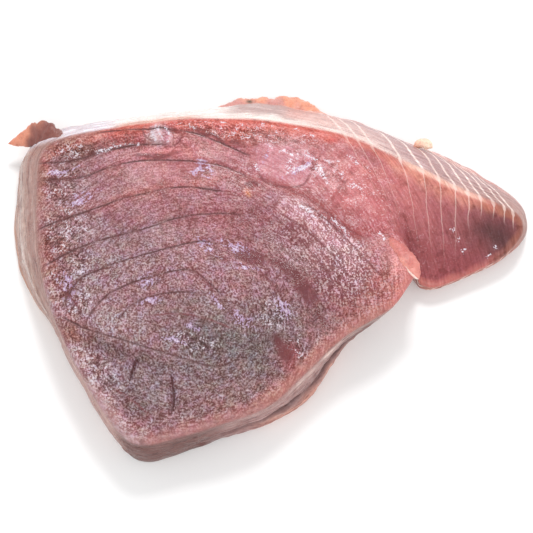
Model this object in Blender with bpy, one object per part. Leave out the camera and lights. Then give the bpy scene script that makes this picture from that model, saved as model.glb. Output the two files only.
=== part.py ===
"""Raw tuna fillet: a skinned slab cut across the belly quarter of the fish, lying on its lower cut face.

The slab is one closed body. Its upper cut face shows the bands of muscle as low steps round a bullseye, the
thin belly flap folds down to the right, and the skinned outside flares out at the back and the left.
The body is a loft: rings run from a ridge line in the middle of the cut face out to its edge, over the rim,
down the side and in again under the foot. A torn scrap, a crumb and the lip over the notch are fused on.

Sizes are in millimetres, +X along the fillet, +Y to its back. The mesh is made in metres.
The plan below is drawn from a point near the loin's middle, and the mesh is then moved so that the origin is
under the middle of the fillet's box, on the surface that it lies on.
"""

import bmesh
import bpy
import numpy as np

MM = 0.001
BOX_MIDDLE = (-2.8, -1.75)  # of the fillet's box, in the plan below

# Driving dimensions of the slab
THICKNESS = 26.0            # of the loin, between its two cut faces
FLAP_THICKNESS = 12.0       # of the belly flap, in its middle
FOLD_WIDTH = 3.0            # of the drop from the loin to the flap, at the lip
FOLD_SPREAD = 34.0          # how much wider the drop grows along the fold
LIP_RISE = 3.2              # of the loin's face at the lip
RIM_RADIUS = 3.0            # of the edge of the cut face
FOOT_RADIUS = 1.6           # of the lower edge
BAND_STEP = 0.8             # how far a band stands above, or its neighbour below, at the seam between them
BAND_SLOPE = 4.0            # the length over which that levels out
SEAM_DEPTH = 0.7
SEAM_WIDTH = 1.6
SEAM_TAPER = 7.0            # the length over which a seam fades in and out
SWELL = 0.7                 # of the uneven cut

# The edge of the cut face, as seen from above, counter-clockwise from the back corner on the left. Each station is
# x, y, how far the foot of the side stands out past the edge, and the place on the ridge that its ray starts from.
LEFT_EDGE = (
    (-97.2, 44.0, 14.0, 8.0),
    (-97.8, 31.0, 14.5, 3.0),
    (-97.0, 11.0, 14.5, 0.0),
    (-94.2, -8.5, 9.5, 0.0),
    (-89.0, -26.5, 2.5, 0.0),
    (-75.5, -53.0, 1.5, 0.0),
    (-60.5, -74.0, 2.6, 0.0),
)
FRONT_EDGE = (
    (-51.0, -78.6, 4.5, 0.0),
    (-37.0, -75.8, 3.0, 8.0),
    (-10.5, -67.8, 1.6, 34.0),
    (1.5, -61.5, 3.5, 48.0),
    (13.0, -50.5, 6.0, 62.0),
    (29.5, -36.0, -1.5, 82.0),
    (48.0, -25.0, -6.5, 104.0),
)
LIP_AND_NOTCH = (
    (55.5, -16.5, -7.0, 112.0),
    (59.6, -9.6, -5.5, 116.0),
    (60.6, -5.4, -2.0, 118.0),
    (63.8, -9.0, -2.5, 120.0),
)
FLAP_EDGE = (
    (72.0, -9.6, -3.5, 128.0),
    (92.6, -0.6, -3.5, 148.0),
    (101.6, 5.4, -2.5, 158.0),
    (106.8, 13.0, 1.5, 158.0),
    (106.0, 19.0, 6.5, 158.0),
    (100.0, 22.8, 13.0, 156.0),
    (80.0, 31.0, 19.0, 139.0),
)
BACK_EDGE = (
    (54.5, 43.0, 19.0, 119.0),
    (29.0, 52.8, 19.5, 96.0),
    (-5.0, 58.6, 20.5, 66.0),
    (-34.5, 59.2, 15.5, 42.0),
    (-66.0, 55.6, 14.5, 23.0),
    (-82.0, 52.8, 15.0, 15.0),
    (-93.0, 49.4, 14.5, 10.0),
)
EDGE = LEFT_EDGE + FRONT_EDGE + LIP_AND_NOTCH + FLAP_EDGE + BACK_EDGE

# The ridge that the rings start from, and the fold where the flap leaves the loin, from the notch inwards
RIDGE = ((-56.0, -32.0), (-18.0, -3.0), (50.0, 15.0), (90.0, 10.0))
FOLD = ((61.4, -12.0), (60.2, -6.0), (56.5, 1.5), (52.0, 9.0), (47.0, 18.0), (36.0, 32.0), (17.0, 46.0), (-8.0, 61.0))

# Seams of gristle between the bands of muscle, each from left to right, with the bullseye on its right-hand side
SEAMS = (
    ((-77.0, 53.0), (-64.5, 54.5), (-45.0, 54.5), (-26.0, 50.5), (-6.5, 41.0)),
    ((-101.0, 40.0), (-84.0, 41.0), (-70.5, 45.0), (-55.5, 48.0), (-41.0, 48.0)),
    ((-101.0, 32.0), (-82.5, 33.0), (-70.0, 37.0), (-57.5, 40.5), (-42.5, 41.0), (-21.0, 38.0), (-8.0, 32.0)),
    ((-100.0, 9.0), (-79.5, 17.5), (-63.0, 23.0), (-46.5, 27.5), (-34.0, 28.5), (-16.5, 26.0)),
    ((-96.0, -7.0), (-81.0, 1.5), (-69.0, 6.5), (-52.5, 10.5), (-40.0, 15.0), (-24.5, 17.0), (-9.5, 16.0)),
    ((-86.5, -24.0), (-79.0, -11.5), (-70.5, -7.0), (-58.0, -2.5), (-44.0, 1.5), (-29.5, 5.0), (-18.5, 2.0)),
    ((-77.0, -31.0), (-68.5, -19.0), (-60.0, -14.0), (-47.5, -9.5), (-33.5, -7.5), (-25.0, -13.5), (-18.0, -20.5)),
    ((-64.0, -31.0), (-56.5, -21.5), (-45.5, -17.5), (-33.0, -17.0), (-26.0, -19.5)),
    ((-12.5, -44.0), (-20.0, -47.5), (-26.5, -47.0), (-45.0, -41.5), (-61.0, -36.5), (-74.0, -32.5), (-88.0, -25.5)),
    ((-8.0, 34.0), (12.0, 25.0), (24.5, 16.0), (33.5, 8.5), (43.0, 3.5)),
)

# Mesh density
COLUMNS = 146
TOP_ROWS = 28
RIM_ROWS = 3
SIDE_ROWS = 6
FOOT_ROWS = 2
RIDGE_NODES = 25
EVEN_STEPS = 1320
SIDE_SMOOTHING = 6.0        # length over which the side's direction is evened out
NOTCH_DENSITY = 2.0         # extra columns at the notch
NOTCH_REACH = 12.0


def clear_scene():
    for thing in list(bpy.data.objects):
        bpy.data.objects.remove(thing, do_unlink=True)


def ease(low, high, value):
    """A smooth step from 0 at low to 1 at high."""
    share = np.clip((value - low) / (high - low), 0.0, 1.0)
    return share * share * (3.0 - 2.0 * share)


def swell(x, y, size, seed):
    """An uneven swell, mostly between -1 and 1: twelve sine waves of random heading, each near size long."""
    draw = np.random.default_rng(seed)
    headings, phases = draw.uniform(0.0, 2.0 * np.pi, (2, 12))
    stretches = draw.uniform(0.7, 1.4, 12)
    total = np.zeros(np.shape(x))
    for heading, phase, stretch in zip(headings, phases, stretches):
        along = x * np.cos(heading) + y * np.sin(heading)
        total += np.sin(2.0 * np.pi * along / (size * stretch) + phase)
    return total / 5.0


def curve_through(stations, steps, closed):
    """The Catmull-Rom curve through stations of any number of values, steps points to a span."""
    here = np.array(stations)
    if closed:
        before, after, beyond = (np.roll(here, shift, axis=0) for shift in (1, -1, -2))
    else:
        padded = np.vstack([here[:1], here, here[-1:]])
        before, here, after, beyond = padded[:-3], padded[1:-2], padded[2:-1], padded[3:]
    u = (np.arange(steps) / steps)[:, None, None]
    linear, square = after - before, 2.0 * before - 5.0 * here + 4.0 * after - beyond
    cube = 3.0 * here - before - 3.0 * after + beyond
    curve = 0.5 * (2.0 * here + linear * u + square * u**2 + cube * u**3)
    curve = curve.transpose(1, 0, 2).reshape(-1, here.shape[1])
    return np.vstack([curve, curve[:1] if closed else after[-1:]])


def edge_columns(count):
    """Columns round the edge, evenly spaced but closer at the notch; x, y, flare, ridge and the way out.

    The way out is the edge's normal smoothed along the edge, so that the small notch doesn't fold the side.
    """
    closed = curve_through(EDGE, 60, closed=True)
    middle = 0.5 * (closed[1:, :2] + closed[:-1, :2])
    lengths = np.hypot(*np.diff(closed[:, :2], axis=0).T)
    travelled = np.r_[0.0, np.cumsum(lengths)]
    even = np.arange(EVEN_STEPS) / EVEN_STEPS * travelled[-1]
    plan = np.c_[np.interp(even, travelled, closed[:, 0]), np.interp(even, travelled, closed[:, 1])]
    along = np.roll(plan, -1, axis=0) - np.roll(plan, 1, axis=0)
    waves = np.fft.rfftfreq(EVEN_STEPS, d=travelled[-1] / EVEN_STEPS)
    gain = np.exp(-2.0 * (np.pi * waves * SIDE_SMOOTHING) ** 2)[:, None]
    normal = np.fft.irfft(np.fft.rfft(np.c_[along[:, 1], -along[:, 0]], axis=0) * gain, EVEN_STEPS, axis=0)
    normal /= np.linalg.norm(normal, axis=1)[:, None]

    notch = np.array(LIP_AND_NOTCH[2][:2])
    weights = 1.0 + NOTCH_DENSITY * np.exp(-np.sum((middle - notch) ** 2, axis=1) / NOTCH_REACH**2)
    weighted = np.r_[0.0, np.cumsum(lengths * weights)]
    places = np.interp(np.arange(count) / count * weighted[-1], weighted, travelled)
    x, y, flare, ridge = (np.interp(places, travelled, closed[:, i]) for i in range(4))
    outward = np.c_[[np.interp(places, even, normal[:, i], period=travelled[-1]) for i in range(2)]].T
    return x, y, flare, ridge, outward


def ridge_points(ridge, nodes):
    """Points of the ridge line, each at the nearest of its evenly spaced nodes, so that both sides share them."""
    line = np.array(RIDGE)
    lengths = np.r_[0.0, np.cumsum(np.hypot(*np.diff(line, axis=0).T))]
    snapped = np.round(np.clip(ridge / lengths[-1], 0.0, 1.0) * (nodes - 1)) / (nodes - 1) * lengths[-1]
    return np.c_[np.interp(snapped, lengths, line[:, 0]), np.interp(snapped, lengths, line[:, 1])]


def line_distance(line, x, y):
    """Distance from a line, which side of it a point is on, from -1 right to 1 left, and how far along it."""
    starts = np.r_[0.0, np.cumsum(np.hypot(*np.diff(line, axis=0).T))]
    nearest, side, along = np.full(np.shape(x), np.inf), np.zeros(np.shape(x)), np.zeros(np.shape(x))
    for (ax, ay), (bx, by), start in zip(line[:-1], line[1:], starts):
        dx, dy = bx - ax, by - ay
        length = np.hypot(dx, dy)
        share = np.clip(((x - ax) * dx + (y - ay) * dy) / length**2, 0.0, 1.0)
        across_x, across_y = x - ax - share * dx, y - ay - share * dy
        distance = np.hypot(across_x, across_y)
        closer = distance < nearest
        facing = (dx * across_y - dy * across_x) / (length * np.maximum(distance, 1e-9))
        nearest = np.where(closer, distance, nearest)
        side = np.where(closer, facing, side)
        along = np.where(closer, start + share * length, along)
    return nearest, side, along


def band_relief(x, y):
    """Along each seam the outer band stands proud, the inner one lies low, and a groove runs between them."""
    relief = np.zeros(np.shape(x))
    for seam in SEAMS:
        line = curve_through(seam, 4, closed=False)
        total = np.sum(np.hypot(*np.diff(line, axis=0).T))
        away, side, along = line_distance(line, x, y)
        strength = ease(0.0, SEAM_TAPER, along) * ease(0.0, SEAM_TAPER, total - along)
        step = BAND_STEP * side * np.exp(-away / BAND_SLOPE)
        relief += strength * (step - SEAM_DEPTH * np.exp(-((away / SEAM_WIDTH) ** 2)))
    return relief


def mound(x, y, centre, reach, height):
    """A round hump on the cut face."""
    return height * np.exp(-((x - centre[0]) ** 2 + (y - centre[1]) ** 2) / reach**2)


def face_height(x, y):
    """Height of the upper cut face: the loin's plane, eased down across the fold to the tilted flap, with relief."""
    loin = THICKNESS + 0.02 * x + 0.03 * y
    loin += mound(x, y, (53.0, -10.0), 14.0, LIP_RISE)
    loin += mound(x, y, (-46.5, 54.0), 4.0, 1.8)
    loin += mound(x, y, (6.5, 35.5), 9.0, 0.8)
    flap = FLAP_THICKNESS - 0.02 * x + 0.25 * y
    away, side, along = line_distance(np.array(FOLD), x, y)
    width = FOLD_WIDTH + FOLD_SPREAD * ease(6.0, 60.0, along)
    on_flap = ease(0.0, 1.0, 0.25 - side * away / width)
    uneven = SWELL * swell(x, y, 26.0, 3) * (1.0 - 0.4 * on_flap)
    return loin + (flap - loin) * on_flap + uneven + band_relief(x, y) * (1.0 - on_flap)


def side_bulge(x, y, share):
    """How far the side stands out between its edges: full at the back, creased along the front right."""
    back = ease(20.0, 45.0, y)
    front_right = ease(-30.0, -5.0, x) * ease(45.0, 20.0, x) * ease(-20.0, -40.0, y)
    crease = np.exp(-(((share - 0.55) / 0.14) ** 2))
    ragged = ease(-26.0, -16.0, x) * ease(26.0, 16.0, x) * back * ease(0.7, 0.95, share)
    return (1.0 + 1.6 * back) * np.sin(np.pi * share) - 1.6 * front_right * crease + 3.0 * ragged


def bend(start, corner, end, share):
    """A quadratic Bezier from start round corner to end."""
    return start * (1.0 - share) ** 2 + corner * 2.0 * share * (1.0 - share) + end * share**2


def fillet_rings():
    """Every ring of the loft, as an array of rows by columns by x, y, z."""
    x, y, flare, ridge, normal = edge_columns(COLUMNS)
    centre = ridge_points(ridge, RIDGE_NODES)
    edge = np.c_[x, y]
    inner = edge - RIM_RADIUS * normal
    rings = []
    for share in np.linspace(0.0, 1.0, TOP_ROWS) ** 0.9:
        plan = centre + (inner - centre) * share
        rings.append(np.c_[plan, face_height(plan[:, 0], plan[:, 1])])

    corner = np.c_[edge, face_height(x, y)]
    foot = np.c_[edge + normal * flare[:, None], np.zeros(COLUMNS)]
    down = foot - corner
    length = np.linalg.norm(down, axis=1)[:, None]
    side_top = corner + down * RIM_RADIUS / length
    side_foot = foot - down * FOOT_RADIUS / length
    under = foot - FOOT_RADIUS * np.c_[normal, np.zeros(COLUMNS)]
    outward = np.c_[normal, np.zeros(COLUMNS)]
    for share in np.arange(1, RIM_ROWS + 1) / RIM_ROWS:
        rings.append(bend(rings[TOP_ROWS - 1], corner, side_top, share))
    for share in np.arange(1, SIDE_ROWS + 1) / SIDE_ROWS:
        bulge = side_bulge(x, y, share) * (1.0 - ease(0.85, 1.0, share) * 0.6)
        rings.append(side_top + (side_foot - side_top) * share + outward * bulge[:, None])
    lowest = rings[-1]
    for share in np.arange(1, FOOT_ROWS + 1) / FOOT_ROWS:
        rings.append(bend(lowest, foot, under, share))
    rings.append(np.c_[centre, np.zeros(COLUMNS)])
    return np.array(rings)


def loft(name, rings, closed_ends):
    """A closed mesh of quads through the rings; doubles merge along the ridge, or each end is filled."""
    rows, columns = rings.shape[:2]
    shape = bmesh.new()
    rings = (rings - (BOX_MIDDLE[0], BOX_MIDDLE[1], 0.0)) * MM
    verts = [[shape.verts.new(point) for point in ring] for ring in rings]
    for above, below in zip(verts[:-1], verts[1:]):
        for i in range(columns):
            j = (i + 1) % columns
            shape.faces.new((above[i], below[i], below[j], above[j]))
    if closed_ends:
        shape.faces.new(verts[0])
        shape.faces.new(reversed(verts[-1]))
    bmesh.ops.remove_doubles(shape, verts=shape.verts, dist=0.002 * MM)
    bmesh.ops.recalc_face_normals(shape, faces=shape.faces)
    bmesh.ops.triangulate(shape, faces=shape.faces)
    mesh = bpy.data.meshes.new(name)
    shape.to_mesh(mesh)
    shape.free()
    thing = bpy.data.objects.new(name, mesh)
    bpy.context.scene.collection.objects.link(thing)
    return thing


def scrap(name, path, widths, heights, lean=0.0):
    """A torn scrap: ovals of the given half widths and half heights, carried along a path of x, y, z points."""
    path = np.array(path, float)
    ahead = np.gradient(path[:, :2], axis=0)
    across = np.c_[-ahead[:, 1], ahead[:, 0]] / np.linalg.norm(ahead, axis=1)[:, None]
    angles = np.arange(12) / 12 * 2.0 * np.pi
    ovals = []
    for centre, sideways, width, height in zip(path, across, widths, heights):
        offset = width * np.cos(angles)
        rise = height * np.sin(angles) + lean * offset
        plan = centre[:2] + offset[:, None] * sideways
        ovals.append(np.c_[plan, centre[2] + rise])
    return loft(name, np.array(ovals), closed_ends=True)


def flesh_material():
    flesh = bpy.data.materials.new("flesh")
    flesh.use_nodes = True
    surface = flesh.node_tree.nodes["Principled BSDF"]
    surface.inputs["Base Color"].default_value = (0.46, 0.2, 0.2, 1.0)
    surface.inputs["Roughness"].default_value = 0.35
    surface.inputs["Metallic"].default_value = 0.0
    return flesh


def torn_scraps():
    """The flesh torn up at the back corner, the crumb behind the flap, and the lip that hangs over the notch."""
    corner = scrap(
        "corner_scrap",
        path=((-88.0, 52.0, 15.0), (-95.5, 56.5, 14.0), (-100.5, 61.5, 13.0), (-105.5, 60.5, 12.0),
              (-111.0, 59.0, 10.0), (-116.5, 57.5, 8.0)),
        widths=(3.0, 6.5, 7.0, 5.0, 2.6, 0.8),
        heights=(2.5, 2.6, 2.4, 2.0, 1.4, 0.7),
        lean=0.3,
    )
    crumb = scrap(
        "crumb",
        path=((67.0, 49.0, 9.0), (67.2, 53.0, 9.5), (67.4, 56.0, 10.0), (67.4, 57.6, 10.2)),
        widths=(2.4, 3.1, 2.7, 0.9),
        heights=(2.2, 2.4, 2.0, 0.8),
    )
    lip = scrap(
        "lip",
        path=((45.0, 7.5, 25.6), (48.5, 3.0, 26.4), (52.5, -2.5, 27.6), (56.0, -8.5, 28.7), (57.6, -12.0, 28.7)),
        widths=(1.6, 4.2, 5.4, 4.0, 1.4),
        heights=(0.8, 1.2, 1.5, 1.5, 0.8),
    )
    return corner, crumb, lip


def fuse(body, pieces):
    """Join pieces to body with one Boolean union on their collection, and remove them."""
    group = bpy.data.collections.new("scraps")
    bpy.context.scene.collection.children.link(group)
    for piece in pieces:
        bpy.context.scene.collection.objects.unlink(piece)
        group.objects.link(piece)
    union = body.modifiers.new("scraps", "BOOLEAN")
    union.operation = "UNION"
    union.operand_type = "COLLECTION"
    union.collection = group
    union.solver = "EXACT"
    bpy.context.view_layer.objects.active = body
    bpy.ops.object.modifier_apply(modifier=union.name)
    for piece in pieces:
        bpy.data.objects.remove(piece, do_unlink=True)
    bpy.data.collections.remove(group)


def main():
    clear_scene()
    fillet = loft("fillet", fillet_rings(), closed_ends=False)
    fuse(fillet, torn_scraps())
    fillet.data.shade_smooth()
    fillet.data.materials.clear()
    fillet.data.materials.append(flesh_material())


main()
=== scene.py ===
"""Raw tuna slab: the look of the cut flesh, its skinned sides and its torn scraps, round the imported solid.

Plans and heights are in millimetres, as the slab's own drawing has them, and meshes are made in metres.
"""

import math

import bmesh
import bpy
import numpy as np
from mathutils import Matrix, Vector


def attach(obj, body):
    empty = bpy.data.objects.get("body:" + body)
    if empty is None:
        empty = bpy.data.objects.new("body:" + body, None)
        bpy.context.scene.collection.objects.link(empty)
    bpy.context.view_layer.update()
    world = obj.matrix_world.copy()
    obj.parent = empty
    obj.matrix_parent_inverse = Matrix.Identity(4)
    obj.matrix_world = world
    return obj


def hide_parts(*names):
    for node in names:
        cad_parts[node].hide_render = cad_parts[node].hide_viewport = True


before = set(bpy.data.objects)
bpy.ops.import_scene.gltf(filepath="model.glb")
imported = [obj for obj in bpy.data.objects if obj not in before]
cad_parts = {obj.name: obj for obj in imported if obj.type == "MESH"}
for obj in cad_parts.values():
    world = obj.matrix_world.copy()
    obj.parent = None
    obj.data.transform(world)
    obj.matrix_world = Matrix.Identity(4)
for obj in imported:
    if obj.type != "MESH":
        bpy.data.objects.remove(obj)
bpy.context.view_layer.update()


# The slab's outline. The real piece is sawn and sliced across the belly quarter of a tuna, so its cut face
# has the quarter's outline: straight where the knife ran at the left and the front, round at the skinned
# back, with a deep notch where the thin belly flap folds away from the loin.

# x and y of the edge, how far the foot stands out past it, and where on the ridge the ray to it starts
LEFT_EDGE = (
    (-97.2, 44.0, 14.0, 8.0),
    (-97.8, 31.0, 14.5, 3.0),
    (-97.0, 11.0, 14.5, 0.0),
    (-94.2, -8.5, 9.5, 0.0),
    (-89.0, -26.5, 2.5, 0.0),
    (-75.5, -53.0, 1.5, 0.0),
    (-60.5, -74.0, 2.6, 0.0),
)
FRONT_EDGE = (
    (-51.0, -78.6, 4.5, 0.0),
    (-37.0, -75.8, 3.0, 8.0),
    (-10.5, -67.8, 1.6, 34.0),
    (1.5, -61.5, 3.5, 48.0),
    (13.0, -50.5, 6.0, 62.0),
    (29.5, -36.0, -1.5, 82.0),
    (48.0, -25.0, -6.5, 104.0),
)
LIP_AND_NOTCH = (
    (55.5, -16.5, -7.0, 112.0),
    (59.6, -9.6, -5.5, 116.0),
    (60.6, -5.4, -2.0, 118.0),
    (63.8, -9.0, -2.5, 120.0),
)
FLAP_EDGE = (
    (72.0, -9.6, -3.5, 128.0),
    (92.6, -0.6, -3.5, 148.0),
    (101.6, 5.4, -2.5, 158.0),
    (106.8, 13.0, 1.5, 158.0),
    (106.0, 19.0, 6.5, 158.0),
    (100.0, 22.8, 13.0, 156.0),
    (80.0, 31.0, 19.0, 139.0),
)
BACK_EDGE = (
    (54.5, 43.0, 19.0, 119.0),
    (29.0, 52.8, 19.5, 96.0),
    (-5.0, 58.6, 20.5, 66.0),
    (-34.5, 59.2, 15.5, 42.0),
    (-66.0, 55.6, 14.5, 23.0),
    (-82.0, 52.8, 15.0, 15.0),
    (-93.0, 49.4, 14.5, 10.0),
)
EDGE = LEFT_EDGE + FRONT_EDGE + LIP_AND_NOTCH + FLAP_EDGE + BACK_EDGE
RIDGE = ((-56.0, -32.0), (-18.0, -3.0), (50.0, 15.0), (90.0, 10.0))
SIDE_SMOOTHING = 6.0
NOTCH_DENSITY = 2.0
NOTCH_REACH = 12.0
EDGE_STEPS = 60
EVEN_STEPS = 1320


def curve_through(stations, steps, closed):
    """The Catmull-Rom curve through stations of any number of values, steps points to a span."""
    here = np.array(stations)
    if closed:
        before, after, beyond = (np.roll(here, shift, axis=0) for shift in (1, -1, -2))
    else:
        padded = np.vstack([here[:1], here, here[-1:]])
        before, here, after, beyond = padded[:-3], padded[1:-2], padded[2:-1], padded[3:]
    u = (np.arange(steps) / steps)[:, None, None]
    linear, square = after - before, 2.0 * before - 5.0 * here + 4.0 * after - beyond
    cube = 3.0 * here - before - 3.0 * after + beyond
    curve = 0.5 * (2.0 * here + linear * u + square * u**2 + cube * u**3)
    curve = curve.transpose(1, 0, 2).reshape(-1, here.shape[1])
    return np.vstack([curve, curve[:1] if closed else after[-1:]])


def edge_columns(count):
    """Columns round the edge, closer at the notch: x, y, flare, ridge, way out, place along, and its length.

    The way out is the edge's normal, smoothed along the edge, so that the small notch doesn't fold the side.
    """
    closed = curve_through(EDGE, EDGE_STEPS, closed=True)
    middle = 0.5 * (closed[1:, :2] + closed[:-1, :2])
    lengths = np.hypot(*np.diff(closed[:, :2], axis=0).T)
    travelled = np.r_[0.0, np.cumsum(lengths)]
    even = np.arange(EVEN_STEPS) / EVEN_STEPS * travelled[-1]
    plan = np.c_[np.interp(even, travelled, closed[:, 0]), np.interp(even, travelled, closed[:, 1])]
    along = np.roll(plan, -1, axis=0) - np.roll(plan, 1, axis=0)
    waves = np.fft.rfftfreq(EVEN_STEPS, d=travelled[-1] / EVEN_STEPS)
    gain = np.exp(-2.0 * (np.pi * waves * SIDE_SMOOTHING) ** 2)[:, None]
    waves_out = np.fft.rfft(np.c_[along[:, 1], -along[:, 0]], axis=0) * gain
    normal = np.fft.irfft(waves_out, EVEN_STEPS, axis=0)
    normal /= np.linalg.norm(normal, axis=1)[:, None]

    notch = np.array(LIP_AND_NOTCH[2][:2])
    weights = 1.0 + NOTCH_DENSITY * np.exp(-np.sum((middle - notch) ** 2, axis=1) / NOTCH_REACH**2)
    weighted = np.r_[0.0, np.cumsum(lengths * weights)]
    places = np.interp(np.arange(count) / count * weighted[-1], weighted, travelled)
    x, y, flare, ridge = (np.interp(places, travelled, closed[:, i]) for i in range(4))
    outward = np.c_[[np.interp(places, even, normal[:, i], period=travelled[-1]) for i in range(2)]].T
    return x, y, flare, ridge, outward, places, travelled[-1]


def ridge_points(ridge, nodes):
    """Points of the ridge line, each at the nearest of its even nodes, so that both sides share them."""
    line = np.array(RIDGE)
    lengths = np.r_[0.0, np.cumsum(np.hypot(*np.diff(line, axis=0).T))]
    snapped = np.round(np.clip(ridge / lengths[-1], 0.0, 1.0) * (nodes - 1)) / (nodes - 1) * lengths[-1]
    return np.c_[np.interp(snapped, lengths, line[:, 0]), np.interp(snapped, lengths, line[:, 1])]


# The cut face. Muscle lies in bands round a bullseye, with a dark seam of gristle between each two. The
# knife left each band a little proud of the next one in, and the cut dried uneven, with a blister and
# torn gaps in places.

THICKNESS = 26.0
LOIN_TILT = (0.02, 0.03)
FACE_SWELL = 0.7
FLAP_THICKNESS = 12.0
FLAP_TILT = (-0.02, 0.25)
FOLD_WIDTH = 3.0
FOLD_SPREAD = 34.0
BULLSEYE = (-35.5, -28.6)
BAND_STEP = 0.5
BAND_SLOPE = 4.0
SEAM_TAPER = 7.0
SEAM_STEPS = 6
FOLD = (
    (61.4, -12.0), (60.2, -6.0), (56.5, 1.5), (52.0, 9.0),
    (47.0, 18.0), (36.0, 32.0), (17.0, 46.0), (-8.0, 61.0),
)
# Each seam runs with the bullseye on its right-hand side, so that left of it is the outer band
SEAMS = (
    ((-77.0, 53.0), (-64.5, 54.5), (-45.0, 54.5), (-26.0, 50.5), (-6.5, 41.0)),
    ((-101.0, 40.0), (-84.0, 41.0), (-70.5, 45.0), (-55.5, 48.0), (-41.0, 48.0)),
    ((-101.0, 32.0), (-82.5, 33.0), (-70.0, 37.0), (-57.5, 40.5), (-42.5, 41.0), (-21.0, 38.0), (-8.0, 32.0)),
    ((-100.0, 9.0), (-79.5, 17.5), (-63.0, 23.0), (-46.5, 27.5), (-34.0, 28.5), (-16.5, 26.0)),
    ((-96.0, -7.0), (-81.0, 1.5), (-69.0, 6.5), (-52.5, 10.5), (-40.0, 15.0), (-24.5, 17.0), (-9.5, 16.0)),
    ((-86.5, -24.0), (-79.0, -11.5), (-70.5, -7.0), (-58.0, -2.5), (-44.0, 1.5), (-29.5, 5.0), (-18.5, 2.0)),
    (
        (-77.0, -31.0), (-68.5, -19.0), (-60.0, -14.0), (-47.5, -9.5),
        (-33.5, -7.5), (-25.0, -13.5), (-18.0, -20.5),
    ),
    ((-64.0, -31.0), (-56.5, -21.5), (-45.5, -17.5), (-33.0, -17.0), (-26.0, -19.5)),
    (
        (-12.5, -44.0), (-20.0, -47.5), (-26.5, -47.0), (-45.0, -41.5),
        (-61.0, -36.5), (-74.0, -32.5), (-88.0, -25.5),
    ),
)
# Which way the distance from each seam counts
SEAM_SIGNS = (1, -1, 1, -1, 1, -1, 1, -1, -1)
CREASE = ((-8.0, 34.0), (12.0, 25.0), (24.5, 16.0), (33.5, 8.5), (43.0, 3.5))
# Hairline seams that only mark the face
HAIRLINES = (
    ((-41.0, 55.0), (-38.0, 51.5), (-40.0, 48.0), (-45.0, 46.0)),
    ((-53.0, 58.0), (-54.5, 54.0), (-52.0, 50.5), (-47.5, 49.0)),
    ((12.0, 22.0), (25.0, 12.0), (34.0, 2.0), (46.0, -13.0)),
    ((3.0, 17.5), (17.0, 7.0), (25.5, -2.0), (33.5, -14.0)),
    ((-5.0, 22.0), (8.0, 9.0), (20.0, -4.5), (27.5, -17.0)),
    ((-41.0, 2.5), (-36.0, -3.0), (-30.0, -9.0), (-22.0, -18.0)),
    ((-17.0, 2.0), (-6.0, -7.0), (3.0, -17.0), (7.0, -28.0)),
    ((-52.0, -27.0), (-38.0, -26.0), (-27.0, -28.0), (-14.0, -33.0)),
    ((-66.0, 12.0), (-63.5, 7.0), (-66.0, 3.0)),
    ((-36.5, 18.0), (-34.0, 12.0), (-37.0, 6.0)),
    ((-64.0, -56.0), (-55.0, -62.0), (-47.0, -69.0)),
    ((-90.0, -12.0), (-82.0, -19.0), (-76.0, -27.0)),
)
HAIRLINE_SIGNS = (1, 1, 1, -1, 1, 1, -1, 1, 1, 1, 1, 1)
GAPS = (
    ((-40.5, -48.5), (-39.0, -60.5), (-40.0, -68.5)),
    ((-53.5, -42.5), (-56.0, -49.5), (-57.0, -55.0)),
)
GAP_SIGNS = (1, 1)
# Round humps of the loin at the lip, the blister and the clear tissue, with centre, reach and height
HUMPS = (
    ((53.0, -10.0), 14.0, 3.2),
    ((-46.5, 54.0), 4.0, 1.8),
    ((6.5, 35.5), 9.0, 0.8),
)
BLISTERS = (((-48.0, 53.0), 4.0), ((-42.5, 50.5), 2.6))
GRAIN_TILE = 256


def ease(low, high, value):
    """A smooth step from 0 at low to 1 at high: t * t * (3 - 2t), with t the share of the way between."""
    share = np.clip((value - low) / (high - low), 0.0, 1.0)
    return share * share * (3.0 - 2.0 * share)


def swell(x, y, size, seed):
    """An uneven swell, mostly between -1 and 1: twelve sine waves of random heading, each near size long."""
    draw = np.random.default_rng(seed)
    headings, phases = draw.uniform(0.0, 2.0 * np.pi, (2, 12))
    stretches = draw.uniform(0.7, 1.4, 12)
    total = np.zeros(np.shape(x))
    for heading, phase, stretch in zip(headings, phases, stretches):
        along = x * np.cos(heading) + y * np.sin(heading)
        total += np.sin(2.0 * np.pi * along / (size * stretch) + phase)
    return total / 5.0


def grain(x, y, size, seed):
    """Grain between -1 and 1: random values at the corners of squares of a size, eased across each square."""
    corners = np.random.default_rng(seed).uniform(-1.0, 1.0, (GRAIN_TILE, GRAIN_TILE))
    u, v = np.asarray(x) / size, np.asarray(y) / size
    i, j = np.floor(u).astype(int), np.floor(v).astype(int)
    s, t = ease(0.0, 1.0, u - i), ease(0.0, 1.0, v - j)
    left, right = i % GRAIN_TILE, (i + 1) % GRAIN_TILE
    lower, upper = j % GRAIN_TILE, (j + 1) % GRAIN_TILE
    low = corners[left, lower] * (1.0 - s) + corners[right, lower] * s
    high = corners[left, upper] * (1.0 - s) + corners[right, upper] * s
    return low * (1.0 - t) + high * t


def line_distance(line, x, y):
    """Distance from a line, which side of it a point is on, from -1 right to 1 left, and how far along it."""
    starts = np.r_[0.0, np.cumsum(np.hypot(*np.diff(line, axis=0).T))]
    nearest, side, along = np.full(np.shape(x), np.inf), np.zeros(np.shape(x)), np.zeros(np.shape(x))
    for (ax, ay), (bx, by), start in zip(line[:-1], line[1:], starts):
        dx, dy = bx - ax, by - ay
        length = np.hypot(dx, dy)
        share = np.clip(((x - ax) * dx + (y - ay) * dy) / length**2, 0.0, 1.0)
        across_x, across_y = x - ax - share * dx, y - ay - share * dy
        distance = np.hypot(across_x, across_y)
        closer = distance < nearest
        facing = (dx * across_y - dy * across_x) / (length * np.maximum(distance, 1e-9))
        nearest = np.where(closer, distance, nearest)
        side = np.where(closer, facing, side)
        along = np.where(closer, start + share * length, along)
    return nearest, side, along


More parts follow.
